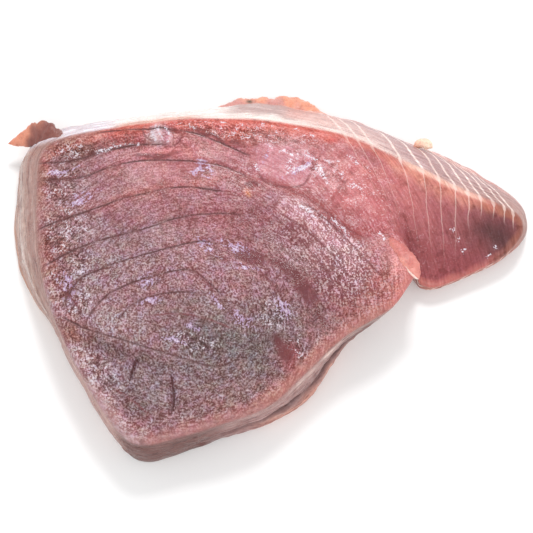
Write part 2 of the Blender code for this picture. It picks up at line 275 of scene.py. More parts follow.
def seam_distance(seam, taper, x, y):
    """Distance from a seam's curve, which side of it a point is on, and how far it has tapered in there."""
    line = curve_through(seam, SEAM_STEPS, closed=False)
    total = np.sum(np.hypot(*np.diff(line, axis=0).T))
    away, side, along = line_distance(line, x, y)
    return away, side, ease(0.0, taper, along) * ease(0.0, taper, total - along)


def seam_field(seams, signs, taper, x, y):
    """Signed distance from the nearest seam, and how strong it is there, from 0 to 1.

    The sign changes on every seam, and neighbours count against each other, so that it never changes
    between two seams, where it would draw a line of its own. The strength fades at the ends and by 4 mm.
    """
    nearest, signed, strength = (np.full(np.shape(x), value) for value in (60.0, 60.0, 0.0))
    for seam, sign in zip(seams, signs):
        away, side, ends = seam_distance(seam, taper, x, y)
        closer = away < nearest
        nearest = np.where(closer, away, nearest)
        signed = np.where(closer, away * side * sign, signed)
        strength = np.where(closer, ends * ease(4.0, 2.0, away), strength)
    return signed, strength


def bell(value):
    """A bell, 1 at 0 and nearly gone by 2: exp(-value^2)."""
    return np.exp(-(value**2))


def band_relief(x, y):
    """Along each seam the outer band stands proud, the inner one lies low, and a groove runs between them."""
    relief = np.zeros(np.shape(x))
    for seam in SEAMS + (CREASE,):
        depth = 0.35 if seam == CREASE else 1.0
        away, side, ends = seam_distance(seam, SEAM_TAPER, x, y)
        step = BAND_STEP * side * np.exp(-away / BAND_SLOPE) * (1.0 - bell(away / 1.2))
        relief += depth * ends * (step - 0.18 * bell(away / 0.8))
    return relief


def patch(x, y, centre, reach, turn):
    """A soft oval, 1 at its centre: exp(-(u^2 + v^2)), u and v along and across it, turned by degrees."""
    cos, sin = math.cos(math.radians(turn)), math.sin(math.radians(turn))
    dx, dy = x - centre[0], y - centre[1]
    return np.exp(-(((dx * cos + dy * sin) / reach[0]) ** 2) - ((dy * cos - dx * sin) / reach[1]) ** 2)


def flap_share(x, y):
    """How far down on the flap a point is, 0 on the loin to 1: a narrow drop at the lip, wider inward."""
    away, side, along = line_distance(np.array(FOLD), x, y)
    width = FOLD_WIDTH + FOLD_SPREAD * ease(6.0, 60.0, along)
    return ease(0.0, 1.0, 0.25 - side * away / width)


def face_height(x, y):
    """Height of the upper cut face: the loin's plane, eased down across the fold to the tilted flap."""
    loin = THICKNESS + LOIN_TILT[0] * x + LOIN_TILT[1] * y
    for centre, reach, height in HUMPS:
        loin += height * patch(x, y, centre, (reach, reach), 0.0)
    flap = FLAP_THICKNESS + FLAP_TILT[0] * x + FLAP_TILT[1] * y
    on_flap = flap_share(x, y)
    return loin + (flap - loin) * on_flap + FACE_SWELL * swell(x, y, 26.0, 3) * (1.0 - 0.4 * on_flap)


def face_relief(x, y):
    """Fine relief of the cut: bands, lumps in the corner, a rough left margin, blisters and gaps."""
    on_loin = 1.0 - flap_share(x, y)
    rough = 0.3 + 0.7 * ease(-55.0, -85.0, x) + 0.3 * ease(-20.0, -45.0, y)
    relief = band_relief(x, y) * on_loin
    relief += rough * on_loin * (0.20 * grain(x, y, 3.1, 5) + 0.12 * grain(x, y, 1.4, 6))
    relief += 0.12 * swell(x, y, 9.0, 8)
    relief += 0.8 * patch(x, y, (-82.0, 45.0), (15.0, 5.0), 8.0) * grain(x, y, 3.4, 10)
    gap, strength = seam_field(GAPS, GAP_SIGNS, 3.0, x + 0.4 * grain(x, y, 2.5, 9), y)
    relief -= 0.9 * strength * bell(gap / 0.7)
    for middle, reach in BLISTERS:
        ring = np.hypot(x - middle[0], y - middle[1])
        relief += 0.5 * ease(reach, 0.0, ring) - 0.4 * bell((ring - reach - 0.6) / 0.7)
    return relief


# The slab itself, one closed skin. Rings run from a ridge line in the middle of the cut face out to its
# edge, over the rounded rim, down the side and in again under the foot. The sides are dull membrane with
# wrinkles, doubled into a fold at the front right, and ragged where the skin was pulled off the back.

MM = 0.001
BOX_MIDDLE = (-2.8, -1.75)
RIM_RADIUS = 3.0
FOOT_RADIUS = 1.6
COLUMNS = 720
TOP_ROWS = 86
RIM_ROWS = 7
SIDE_ROWS = 26
FOOT_ROWS = 3
UNDER_ROWS = 6
RIDGE_NODES = 121
FOLD_LINE = 0.5
UNDER_HOLLOW = 0.35
SAME_POINT = 0.002


def bend(start, corner, end, share):
    """A quadratic Bezier from start round corner to end."""
    return start * (1.0 - share) ** 2 + corner * 2.0 * share * (1.0 - share) + end * share**2


def side_parts(x, y):
    """How far a point of the edge belongs to the back, the left, the front, and the folded front right."""
    back = ease(20.0, 45.0, y)
    left = ease(-62.0, -86.0, x) * ease(-45.0, -12.0, y)
    front = ease(-66.0, -56.0, x) * ease(-18.0, -34.0, y)
    folded = ease(-34.0, -6.0, x) * ease(47.0, 24.0, x) * ease(-20.0, -38.0, y)
    return back, left, front, folded


def side_relief(x, y, places, share):
    """How far the side stands out between its edges: bulge, fold, ragged foot, and wrinkles along it."""
    back, left, front, folded = side_parts(x, y)
    still = 0.0 * places
    bulge = (1.0 + 1.6 * back) * np.sin(np.pi * share)
    crease = (share - FOLD_LINE - 0.05 * grain(places, still, 14.0, 31)) / 0.09
    fold = folded * (1.6 * ease(0.5, 2.5, crease) * np.sin(np.pi * share) - 2.0 * bell(crease))
    tatters = 0.5 + 0.5 * grain(places, still, 6.0, 32) + 0.3 * grain(places, still, 2.0, 33)
    ragged = ease(-30.0, -14.0, x) * ease(24.0, 16.0, x) * back * ease(0.72, 0.95, share)
    down = THICKNESS * share
    wrinkles = grain(places * 0.16, down + 0.08 * places, 1.5, 34)
    wrinkles += 0.6 * grain(places * 0.5, down - 0.1 * places, 1.1, 35)
    level = np.sin(np.pi * np.clip(share, 0.0, 1.0)) ** 0.5
    return bulge + fold + 1.5 * ragged * tatters + (0.2 + 0.35 * left + 0.3 * front) * wrinkles * level


def slab_rings():
    """Every ring, rows by columns by x, y, z, with each point's share down the side, way in and strip.

    The share is -1 on the upper face, rises over the rim to 0, goes to 1 at the foot and is 2 underneath.
    The strip is the side rolled out round a drum as long as the edge: drum x, drum y, and the way down.
    """
    x, y, flare, ridge, normal, places, length = edge_columns(COLUMNS)
    centre = ridge_points(ridge, RIDGE_NODES)
    edge = np.c_[x, y]
    inner = edge - RIM_RADIUS * normal
    outward = np.c_[normal, np.zeros(COLUMNS)]
    rings, shares, insets = [], [], []

    for share in np.linspace(0.0, 1.0, TOP_ROWS) ** 0.9:
        plan = centre + (inner - centre) * share
        rings.append(np.c_[plan, face_height(plan[:, 0], plan[:, 1]) + face_relief(plan[:, 0], plan[:, 1])])
        shares.append(-1.0)
        insets.append(np.linalg.norm(edge - plan, axis=1))

    corner = np.c_[edge, face_height(x, y) + 0.6 * face_relief(x, y)]
    uneven_foot = flare + 0.5 * grain(places, 0.0 * places, 6.0, 41)
    foot = np.c_[edge + normal * uneven_foot[:, None], np.zeros(COLUMNS)]
    drop = foot - corner
    slope = drop / np.linalg.norm(drop, axis=1)[:, None]
    side_top = corner + slope * RIM_RADIUS
    side_foot = foot - slope * FOOT_RADIUS
    under = foot - FOOT_RADIUS * outward
    for share in np.arange(1, RIM_ROWS + 1) / RIM_ROWS:
        rings.append(bend(rings[TOP_ROWS - 1], corner, side_top, share))
        shares.append(share - 1.0)
        insets.append(RIM_RADIUS * (1.0 - share) * np.ones(COLUMNS))

    for share in np.arange(1, SIDE_ROWS + 1) / SIDE_ROWS:
        bulge = side_relief(x, y, places, share) * (1.0 - 0.6 * ease(0.85, 1.0, share))
        rings.append(side_top + (side_foot - side_top) * share + outward * bulge[:, None])
        shares.append(share)
        insets.append(np.zeros(COLUMNS))
    lowest = rings[-1]
    for share in np.arange(1, FOOT_ROWS + 1) / FOOT_ROWS:
        rings.append(bend(lowest, foot, under, share))
        shares.append(1.0)
        insets.append(np.zeros(COLUMNS))

    for share in np.arange(1, UNDER_ROWS + 1) / UNDER_ROWS:
        plan = under[:, :2] + (centre - under[:, :2]) * share
        hollow = 1.0 + grain(plan[:, 0], plan[:, 1], 9.0, 51)
        rings.append(np.c_[plan, UNDER_HOLLOW * hollow * math.sin(math.pi * share) ** 0.5])
        shares.append(2.0)
        insets.append(np.linalg.norm(edge - plan, axis=1))

    rings, insets = np.array(rings), np.array(insets)
    shares = np.broadcast_to(np.array(shares)[:, None], insets.shape)
    drum, turn = length / (2.0 * np.pi), 2.0 * np.pi * places / length
    round_x, round_y = (np.broadcast_to(drum * wave(turn), insets.shape) for wave in (np.cos, np.sin))
    strip = np.stack([round_x, round_y, THICKNESS * shares], axis=-1)
    return rings, shares, insets, strip


def closed_skin(name, rings, marks):
    """A closed mesh of quads between rings that close on themselves, with its points' marks as attributes."""
    rows, columns = rings.shape[:2]
    index = np.arange(rows * columns).reshape(rows, columns)
    right = np.roll(index, -1, axis=1)
    quads = np.stack([index[:-1], index[1:], right[1:], right[:-1]], axis=-1).reshape(-1, 4)
    points = ((rings - (BOX_MIDDLE[0], BOX_MIDDLE[1], 0.0)) * MM).reshape(-1, 3)
    mesh = bpy.data.meshes.new(name)
    mesh.from_pydata(points, [], quads)
    for mark, values in marks.items():
        kind = {2: "FLOAT", 3: "FLOAT_VECTOR"}[values.ndim]
        attribute = mesh.attributes.new(mark, kind, "POINT")
        attribute.data.foreach_set("vector" if values.ndim == 3 else "value", values.reshape(-1))
    joined = bmesh.new()
    joined.from_mesh(mesh)
    bmesh.ops.remove_doubles(joined, verts=joined.verts, dist=SAME_POINT * MM)
    bmesh.ops.recalc_face_normals(joined, faces=joined.faces)
    joined.to_mesh(mesh)
    joined.free()
    mesh.shade_smooth()
    piece = bpy.data.objects.new(name, mesh)
    bpy.context.scene.collection.objects.link(piece)
    return piece


# Colours of the raw flesh, as light the surface gives back, and the soft ovals of the face that they fill:
# centre, reach, turn in degrees, and how much of the colour shows in the middle. Later ones lie on top. Some
# ovals are painted light and shade, each marked where it stands.

DULL_RED = (0.310, 0.130, 0.142)
ROSE = (0.43, 0.145, 0.155)
SALMON = (0.47, 0.150, 0.142)
CANDY_PINK = (0.64, 0.205, 0.208)
BELLY_PINK = (0.52, 0.148, 0.152)
BELLY_ROSE = (0.62, 0.195, 0.185)
BELLY_RED = (0.43, 0.085, 0.092)
PALE_ROSE = (0.50, 0.230, 0.255)
GREY_RED = (0.130, 0.085, 0.083)
GREY_MAUVE = (0.245, 0.150, 0.168)
MAUVE = (0.215, 0.140, 0.160)
MAUVE_ROSE = (0.36, 0.165, 0.185)
ROSE_WINE = (0.210, 0.060, 0.068)
DUSKY_RED = (0.150, 0.085, 0.086)
WARM_ROSE = (0.325, 0.088, 0.102)
DARK_BACK_RED = (0.33, 0.070, 0.055)
LIP_BLUSH = (0.74, 0.270, 0.250)
GREY_ROSE = (0.33, 0.205, 0.215)
BROWN_RED = (0.25, 0.080, 0.060)
DARK_BROWN_AND_SHADOW = (0.105, 0.048, 0.042)
RIM_RED = (0.34, 0.098, 0.080)
RIM_CORAL = (0.62, 0.200, 0.175)
RIM_BROWN = (0.25, 0.100, 0.092)
RIM_PINK = (0.44, 0.172, 0.145)
BACK_RED = (0.57, 0.096, 0.066)
BACK_ORANGE = (0.58, 0.190, 0.110)
WINE = (0.16, 0.034, 0.040)
WET_WINE = (0.125, 0.028, 0.033)
DEEP_RED = (0.30, 0.048, 0.046)
BLISTER_WHITE = (0.86, 0.680, 0.720)
CORNER_BROWN = (0.25, 0.090, 0.080)
LIP_CORAL = (0.60, 0.165, 0.135)
GLASSY_PINK = (0.52, 0.205, 0.235)
AMBER = (0.60, 0.190, 0.080)

FACE_PATCHES = (
    (GREY_MAUVE, (-68.0, 8.0), (26.0, 26.0), 0.0, 0.75),
    (WARM_ROSE, (-16.0, 18.0), (30.0, 17.0), -8.0, 0.85),
    (WARM_ROSE, (-58.0, 17.0), (20.0, 10.0), 14.0, 0.45),
    (ROSE, (-47.0, 38.0), (24.0, 9.0), 8.0, 0.80),
    # Painted highlight: salmon on the raised edge of the band just above a seam
    (SALMON, (-50.0, 27.0), (22.0, 3.6), 12.0, 0.70),
    (CANDY_PINK, (-38.0, 45.0), (22.0, 5.0), 2.0, 0.75),
    (ROSE, (-12.0, 41.0), (22.0, 9.0), -14.0, 0.90),
    (WARM_ROSE, (-14.0, 38.0), (13.0, 7.0), -30.0, 0.60),
    # Painted highlight: salmon on the raised edge of the band just above a seam
    (SALMON, (-28.0, 31.5), (12.0, 4.0), 0.0, 0.60),
    (BELLY_PINK, (34.0, 27.0), (38.0, 17.0), -36.0, 1.00),
    (BELLY_ROSE, (38.0, 38.0), (14.0, 8.0), -20.0, 0.60),
    (WARM_ROSE, (24.0, 36.0), (7.0, 9.0), -20.0, 0.35),
    (WARM_ROSE, (7.0, 22.0), (9.0, 5.0), -25.0, 0.65),
    (BELLY_RED, (46.0, 4.0), (14.0, 13.0), -45.0, 0.80),
    (ROSE_WINE, (20.0, -4.0), (32.0, 17.0), -42.0, 0.90),
    (ROSE_WINE, (1.0, 4.0), (15.0, 8.0), -40.0, 0.75),
    (PALE_ROSE, (16.0, 13.0), (20.0, 6.0), -40.0, 0.80),
    (ROSE_WINE, (19.0, -27.0), (17.0, 12.0), -35.0, 0.70),
    (DUSKY_RED, (-18.0, -51.0), (32.0, 13.0), -4.0, 0.85),
    (GREY_ROSE, (-67.0, -26.0), (17.0, 8.0), -30.0, 0.65),
    (GREY_ROSE, (-71.0, -6.0), (16.0, 8.0), 10.0, 0.55),
    (MAUVE_ROSE, (-29.0, -13.0), (15.0, 7.0), -10.0, 0.70),
    (GREY_RED, (-18.0, -38.0), (30.0, 13.0), -14.0, 0.95),
    (GREY_RED, (-24.0, -24.0), (18.0, 8.0), -14.0, 0.35),
    (GREY_RED, (2.0, -27.0), (13.0, 8.0), -40.0, 0.60),
    (GREY_RED, (-1.0, -38.0), (7.0, 6.0), 0.0, 0.90),
    (ROSE_WINE, (7.0, -44.0), (7.0, 6.0), 30.0, 0.75),
    (MAUVE, (-54.0, -54.0), (26.0, 12.0), -24.0, 0.80),
    (DUSKY_RED, (-46.0, -62.0), (13.0, 8.0), 0.0, 0.80),
    (DUSKY_RED, (-20.0, -62.0), (14.0, 5.0), 12.0, 0.50),
    (PALE_ROSE, (-95.0, 17.0), (6.0, 8.0), 0.0, 0.60),
    (BROWN_RED, (-88.0, 4.0), (6.0, 34.0), 5.0, 0.70),
    # Painted shadow: dark brown along the lower side of the lowest seam
    (DARK_BROWN_AND_SHADOW, (-70.0, -38.0), (15.0, 3.6), -26.0, 0.85),
    (DARK_BROWN_AND_SHADOW, (-50.0, -44.5), (14.0, 2.2), -16.0, 0.70),
    (BROWN_RED, (-81.0, -33.0), (9.0, 5.0), -30.0, 0.65),
    (GREY_ROSE, (-64.0, -31.0), (18.0, 2.8), -22.0, 0.80),
    (WET_WINE, (3.2, -38.0), (3.2, 5.4), 35.0, 0.90),
    (ROSE_WINE, (10.0, -12.0), (9.0, 3.0), -45.0, 0.60),
    (BELLY_RED, (8.0, -46.0), (3.4, 4.0), 35.0, 0.50),
    (WET_WINE, (19.2, -28.2), (2.6, 4.8), -5.0, 0.95),
    (LIP_BLUSH, (52.0, -13.5), (6.0, 7.0), 30.0, 0.60),
    # The dark brown wet lumps of the back left corner
    (BROWN_RED, (-84.0, 46.0), (13.0, 6.5), 8.0, 1.00),
    (DARK_BROWN_AND_SHADOW, (-84.0, 46.0), (14.0, 5.0), 8.0, 0.65),
    (DEEP_RED, (-64.0, 51.0), (15.0, 5.0), 6.0, 1.00),
    (BACK_ORANGE, (-58.0, 58.0), (18.0, 2.6), 2.0, 0.90),
    (CORNER_BROWN, (-49.0, -79.0), (8.0, 3.6), 0.0, 0.90),
    (RIM_RED, (40.0, -22.0), (20.0, 9.0), 35.0, 0.70),
    (RIM_BROWN, (-12.0, -60.0), (30.0, 8.0), 14.0, 0.70),
    (RIM_CORAL, (51.0, -19.0), (6.0, 9.0), 30.0, 0.75),
    (BACK_RED, (-12.0, 55.0), (42.0, 5.0), -3.0, 0.85),
    (DARK_BACK_RED, (-2.0, 50.0), (15.0, 5.0), -12.0, 0.70),
    (DEEP_RED, (-8.0, 29.0), (4.0, 4.5), -30.0, 0.85),
    (GLASSY_PINK, (6.5, 38.0), (12.0, 9.0), -10.0, 1.00),
    (BLISTER_WHITE, (-49.0, 54.0), (3.2, 4.2), 10.0, 1.00),
    (GLASSY_PINK, (-43.5, 52.5), (2.6, 2.6), 0.0, 0.90),
    (AMBER, (-8.2, 26.5), (1.0, 3.0), 12.0, 1.00),
    (LIP_CORAL, (57.0, -5.5), (4.0, 9.0), 28.0, 0.70),
    (LIP_BLUSH, (51.5, -4.0), (4.0, 6.0), 35.0, 0.50),
)

# Rims of the face, and the left side
LEFT_RIM = (0.31, 0.086, 0.062)
LEFT_EDGE_ROSE = (0.40, 0.190, 0.170)
LOWER_LEFT_RIM = (0.44, 0.268, 0.275)
LEFT_GREY = (0.46, 0.285, 0.240)
LEFT_BROWN = (0.34, 0.165, 0.145)
LEFT_PALE = (0.66, 0.530, 0.490)
LEFT_ORANGE = (0.50, 0.220, 0.130)

# The flap, the peach edge along its skin with how deep that is at places along x, and the flap's rims. The
# peach edge is partly the flesh's own colour and partly a painted glow of the light from behind, and the back
# rim along the skin is a painted glow.
FLAP_ROSE = (0.35, 0.100, 0.108)
FLAP_PINK = (0.54, 0.165, 0.163)
FLAP_WINE_AND_SHADE = (0.25, 0.048, 0.055)
FLAP_DARK = (0.085, 0.024, 0.026)
FLAP_BROWN = (0.38, 0.115, 0.068)
PEACH = (0.68, 0.270, 0.205)
PEACH_EDGE = ((44.0, 2.0), (52.0, 11.0), (63.0, 11.5), (80.0, 8.5), (95.0, 5.0), (104.0, 3.0))
FLAP_LOW_RIM = (0.50, 0.142, 0.120)
FLAP_TIP_RIM = (0.30, 0.102, 0.070)
FLAP_BACK_RIM_GLOW = (0.86, 0.520, 0.420)
FLAP_PATCHES = (
    (FLAP_PINK, (51.0, 29.0), (14.0, 15.0), 10.0, 0.95),
    (FLAP_WINE_AND_SHADE, (72.0, -1.0), (20.0, 11.0), 15.0, 0.75),
    # Painted shade: darker red in the valley of the flap beside the lip
    (FLAP_WINE_AND_SHADE, (61.0, 3.0), (5.0, 13.0), 18.0, 0.70),
    (FLAP_WINE_AND_SHADE, (85.0, 2.0), (12.0, 8.0), 12.0, 0.70),
    (FLAP_DARK, (96.0, 12.0), (14.0, 9.5), -20.0, 1.00),
)

# The skinned sides, the fold at the front right, the notch, and the foot of the back
SKIN_BROWN = (0.44, 0.245, 0.215)
SKIN_MAUVE = (0.46, 0.275, 0.275)
SKIN_WHITE = (0.84, 0.730, 0.690)
SKIN_LILAC = (0.70, 0.600, 0.650)
SKIN_PINK = (0.62, 0.270, 0.235)
SKIN_ROSY = (0.72, 0.470, 0.430)
SKIN_SHADE = (0.42, 0.240, 0.225)
SKIN_SALMON = (0.62, 0.290, 0.250)
SKIN_PEACH = (0.66, 0.340, 0.270)
FRONT_BROWN_AND_SHADE = (0.155, 0.068, 0.060)
FOLD_MAUVE = (0.33, 0.180, 0.170)
FOLD_ORANGE = (0.56, 0.255, 0.195)
FOLD_CREASE_SHADE = (0.085, 0.034, 0.034)
FOLD_EDGE_HIGHLIGHT = (0.80, 0.580, 0.520)
NOTCH_RED = (0.28, 0.090, 0.080)
FLAP_UNDER = (0.44, 0.175, 0.140)
FRILL_PINK = (0.80, 0.320, 0.230)

# Smooth wet spots without grains, spots where the wet flesh mirrors the light, and rough spots where it
# glints, each with its centre, reach and turn
WET_SPOTS = (
    ((-8.5, -2.0), (8.0, 2.6), -10.0),
    ((4.5, -5.5), (5.5, 2.2), -25.0),
    ((-20.5, -4.0), (4.0, 1.4), -25.0),
    ((9.5, -10.0), (5.0, 2.2), -45.0),
    ((13.5, -17.0), (6.5, 3.6), -45.0),
    ((19.8, -28.0), (1.6, 4.5), -5.0),
    ((4.0, -40.0), (2.4, 6.0), 35.0),
    ((-24.0, 51.0), (14.0, 1.3), -20.0),
    ((-48.0, 43.5), (12.0, 1.4), 4.0),
    ((-7.5, 30.0), (2.8, 2.0), -30.0),
)
MIRROR_SPOTS = (
    ((-29.0, 36.0), (5.0, 3.6), 35.0),
    ((-27.5, 2.5), (7.0, 2.4), -48.0),
    ((-13.5, 1.8), (7.5, 2.2), -14.0),
    ((-10.0, -6.0), (6.5, 1.2), -6.0),
    ((-50.5, -12.0), (3.2, 2.8), 0.0),
    ((-49.0, -20.5), (5.0, 1.8), 15.0),
    ((-22.0, -21.0), (5.0, 1.6), -40.0),
    ((-32.0, -30.5), (4.0, 1.8), -20.0),
    ((-40.0, -37.0), (7.0, 1.4), -20.0),
    ((-12.0, -28.0), (6.0, 3.0), -30.0),
    ((5.0, -25.0), (5.0, 3.2), -60.0),
    ((-83.0, -14.0), (3.0, 6.0), 20.0),
    ((-80.0, 24.0), (8.0, 2.6), 20.0),
    ((-88.0, 36.0), (7.0, 2.0), 6.0),
    ((10.5, 35.5), (6.0, 1.4), 22.0),
    ((-2.0, 42.0), (3.4, 1.2), 60.0),
)
ROUGH_SPOTS = (
    ((-86.0, 45.0), (7.0, 4.0), 0.0),
    ((-66.0, 46.5), (14.0, 1.2), 10.0),
    ((-48.0, 54.0), (5.0, 4.0), -25.0),
    ((-88.0, 30.0), (9.0, 9.0), 0.0),
    ((-84.0, 10.0), (10.0, 12.0), 0.0),
    ((-82.0, -6.0), (9.0, 9.0), 0.0),
    ((-80.0, -20.0), (9.0, 7.0), -40.0),
    ((-12.0, 53.0), (34.0, 3.4), -8.0),
    ((24.0, 14.0), (12.0, 2.6), -40.0),
    ((2.0, -27.0), (8.0, 6.0), -30.0),
    ((-32.0, -38.0), (12.0, 4.0), -14.0),
    ((11.0, -41.5), (6.0, 3.0), -45.0),
    ((22.0, 36.0), (16.0, 5.0), -30.0),
    ((-70.0, -50.0), (6.0, 12.0), 35.0),
)
# Single bright glints, each a short stroke from one end to the other
GLINTS = (
    ((6.0, 34.3), (10.7, 35.3)), ((10.7, 35.3), (16.1, 37.8)), ((8.0, 36.4), (14.7, 37.4)),
    ((6.6, 36.8), (8.0, 40.8)), ((8.0, 42.9), (9.3, 41.5)), ((14.8, 42.1), (18.8, 40.7)),
    ((-0.8, 46.6), (0.2, 45.5)), ((3.9, 44.4), (6.0, 44.0)), ((-6.9, 38.7), (-5.5, 35.8)),
    ((18.4, 37.0), (21.4, 32.7)), ((20.1, 37.7), (23.4, 29.8)), ((23.8, 40.1), (24.6, 39.7)),
    ((28.7, 34.6), (29.6, 34.4)), ((27.8, 40.6), (28.8, 40.2)), ((32.6, 42.7), (33.5, 42.4)),
    ((35.3, 40.5), (36.4, 39.7)), ((33.4, 28.3), (36.1, 29.0)), ((33.9, 29.5), (37.6, 27.5)),
    ((40.4, 39.2), (41.1, 37.4)), ((44.8, 8.3), (46.4, 5.3)), ((11.9, 20.0), (17.2, 17.1)),
    ((14.6, 18.6), (18.5, 14.3)), ((25.2, 14.3), (31.7, 7.9)), ((-73.7, 44.4), (-67.6, 46.1)),
    ((-67.2, 46.8), (-66.6, 46.9)), ((-65.5, 47.2), (-64.9, 47.2)), ((-63.2, 47.8), (-62.6, 48.0)),
    ((-56.4, 48.2), (-55.6, 48.2)), ((-49.5, 56.3), (-46.6, 51.1)), ((-50.6, 53.1), (-48.8, 49.9)),
    ((-44.7, 54.7), (-42.5, 51.0)), ((-42.5, 51.0), (-43.7, 48.9)), ((-4.0, 56.8), (-3.3, 56.3)),
    ((0.6, 55.5), (1.3, 55.2)), ((2.0, 53.7), (2.6, 53.3)), ((-21.0, 58.1), (-20.1, 57.6)),
    ((-13.3, 56.8), (-12.7, 56.6)), ((10.4, 55.0), (11.1, 54.7)), ((16.8, 52.3), (17.4, 51.9)),
    ((76.6, 13.8), (77.6, 14.0)), ((79.0, 9.8), (79.4, 10.2)), ((81.0, 5.0), (81.8, 5.6)),
    ((92.0, 3.6), (92.7, 3.8)), ((94.8, 6.6), (95.2, 6.8)),
)
# The outline of a clear patch of connective tissue, counter-clockwise
SHIELD = (
    (-6.0, 47.7), (-6.2, 40.0), (-4.3, 32.4),
    (0.0, 29.4), (4.5, 28.4), (12.1, 28.8),
    (15.5, 32.5), (17.6, 38.7), (18.5, 42.0),
    (10.0, 45.5), (2.4, 47.7),
)
# Where the white septa meet the skin, along x
SEPTA = (31.0, 36.5, 43.0, 55.2, 64.2, 71.5, 77.9, 83.9, 89.2, 94.2, 99.0, 103.0)
# Where the cut is smoother than elsewhere, where pale flecks lie in it, partly painted sparkle, and where it
# sparkles with painted glints: centre, reach, turn, and by how much
SMOOTH_FLESH = (
    ((-36.0, 38.0), (26.0, 8.0), 4.0, 0.30),
    ((30.0, 28.0), (38.0, 14.0), -36.0, 0.75),
    ((6.5, 38.0), (12.0, 9.0), -10.0, 0.60),
    ((22.0, -4.0), (34.0, 16.0), -42.0, 0.45),
    ((4.5, -40.0), (3.4, 7.0), 35.0, 0.70),
)
SMOOTH_LIP_AND_BLISTER = (
    ((57.0, -5.5), (6.0, 10.0), 28.0, 0.8),
    ((-49.0, 54.0), (3.2, 4.2), 10.0, 0.7),
)
FLECKED = (
    ((20.0, -2.0), (30.0, 15.0), -42.0, 0.45),
    ((21.0, 11.5), (20.0, 5.5), -41.0, 0.70),
    ((-10.0, 33.0), (20.0, 6.0), 0.0, 0.30),
    ((33.0, -8.0), (10.0, 8.0), -50.0, 0.35),
)
SPARKLING = (
    ((30.0, 28.0), (34.0, 15.0), -36.0, 1.0),
    ((42.0, 26.0), (9.0, 8.0), 0.0, 0.6),
)
SPARKLING_BLISTER = ((-48.0, 53.5), (5.0, 5.0), 0.0)
FLECKLESS_LIP = ((52.5, -4.0), (5.0, 10.0), 35.0)
ROPY = ((20.0, -4.0), (32.0, 17.0), -42.0)
# How fast the rows of fibre change outwards from the bullseye, and how far they run round it
FIBRE_STEP = 1.6
FIBRE_ROUND = 22.0


def layered(ground, layers):
    """A ground colour with layers over it in turn, each a colour and how far it covers, from 0 to 1."""
    ground = np.array(ground)
    for colour, cover in layers:
        ground = ground + (np.array(colour) - ground) * cover[..., None]
    return ground


def filled(x, y, ovals):
    """The layers that some soft ovals make, each its colour and how far that covers."""
    return [
        (colour, amount * patch(x, y, centre, reach, turn))
        for colour, centre, reach, turn, amount in ovals
    ]


def summed(x, y, ovals):
    """The sum of some soft ovals, each as strong as its amount."""
    return sum(amount * patch(x, y, centre, reach, turn) for centre, reach, turn, amount in ovals)


def spots(x, y, ovals):
    """How far a point is in the nearest of some ovals, from 0 to 1, their edges pulled about by grain."""
    across = x + 1.6 * grain(x, y, 5.0, 63) + 0.8 * grain(x, y, 2.0, 64)
    along = y + 1.6 * grain(x, y, 5.0, 69)
    return np.max([patch(across, along, *oval) for oval in ovals], axis=0)


def pulled_about(x, y):
    """A place moved by an uneven swell, which makes the edges of ovals uneven."""
    return x + 2.6 * swell(x, y, 15.0, 61), y + 2.6 * swell(x, y, 15.0, 62)


def septum_field(x, y, share):
    """Signed distance from the flap's nearest white septum, how strong it is, and the depth from the skin.

    The septa lean over as they go deeper into the face, and bow on their way down the side.
    """
    back = np.array(BACK_EDGE[:3] + FLAP_EDGE[4:])
    back = back[np.argsort(back[:, 0])]
    depth = np.clip(np.interp(x, back[:, 0], back[:, 1]) - y, 0.0, 60.0)
    lean = 0.75 * ease(86.0, 36.0, x) ** 1.6
    down = np.clip(share, 0.0, 1.0)
    bow = 9.0 * down * (1.0 + down) + 0.6 * np.sin(9.0 * down)
    place = np.where(share > 0.0, x + bow, x - lean * depth) + 0.5 * grain(x, y, 6.0, 71)
    lines = np.array(SEPTA)
    nearest = np.argmin(np.abs(place[..., None] - lines), axis=-1)
    signed = (place - lines[nearest]) * (1 - 2 * (nearest % 2))
    reach = 8.0 + 32.0 * ease(92.0, 72.0, place)
    upper = ease(1.0, 0.3, depth / reach) * (0.7 + 0.3 * ease(40.0, 54.0, place))
    skinned = np.maximum(ease(0.0, 14.0, y), ease(56.0, 62.0, x))
    strength = np.where(share > 0.0, skinned, upper) * ease(24.0, 32.0, place)
    return signed, strength * ease(2.8, 1.8, np.abs(signed)), depth


def shield_depth(x, y):
    """How far inside the clear patch's outline a point is, less than 0 outside it."""
    away, side = line_distance(curve_through(SHIELD, 4, closed=True), x, y)[:2]
    return np.clip(away * np.sign(side), -6.0, 12.0)


def glint_distance(x, y):
    """Distance from the nearest bright glint, up to 4 mm."""
    nearest = np.full(np.shape(x), 4.0)
    for glint in GLINTS:
        nearest = np.minimum(nearest, line_distance(np.array(glint), x, y)[0])
    return nearest


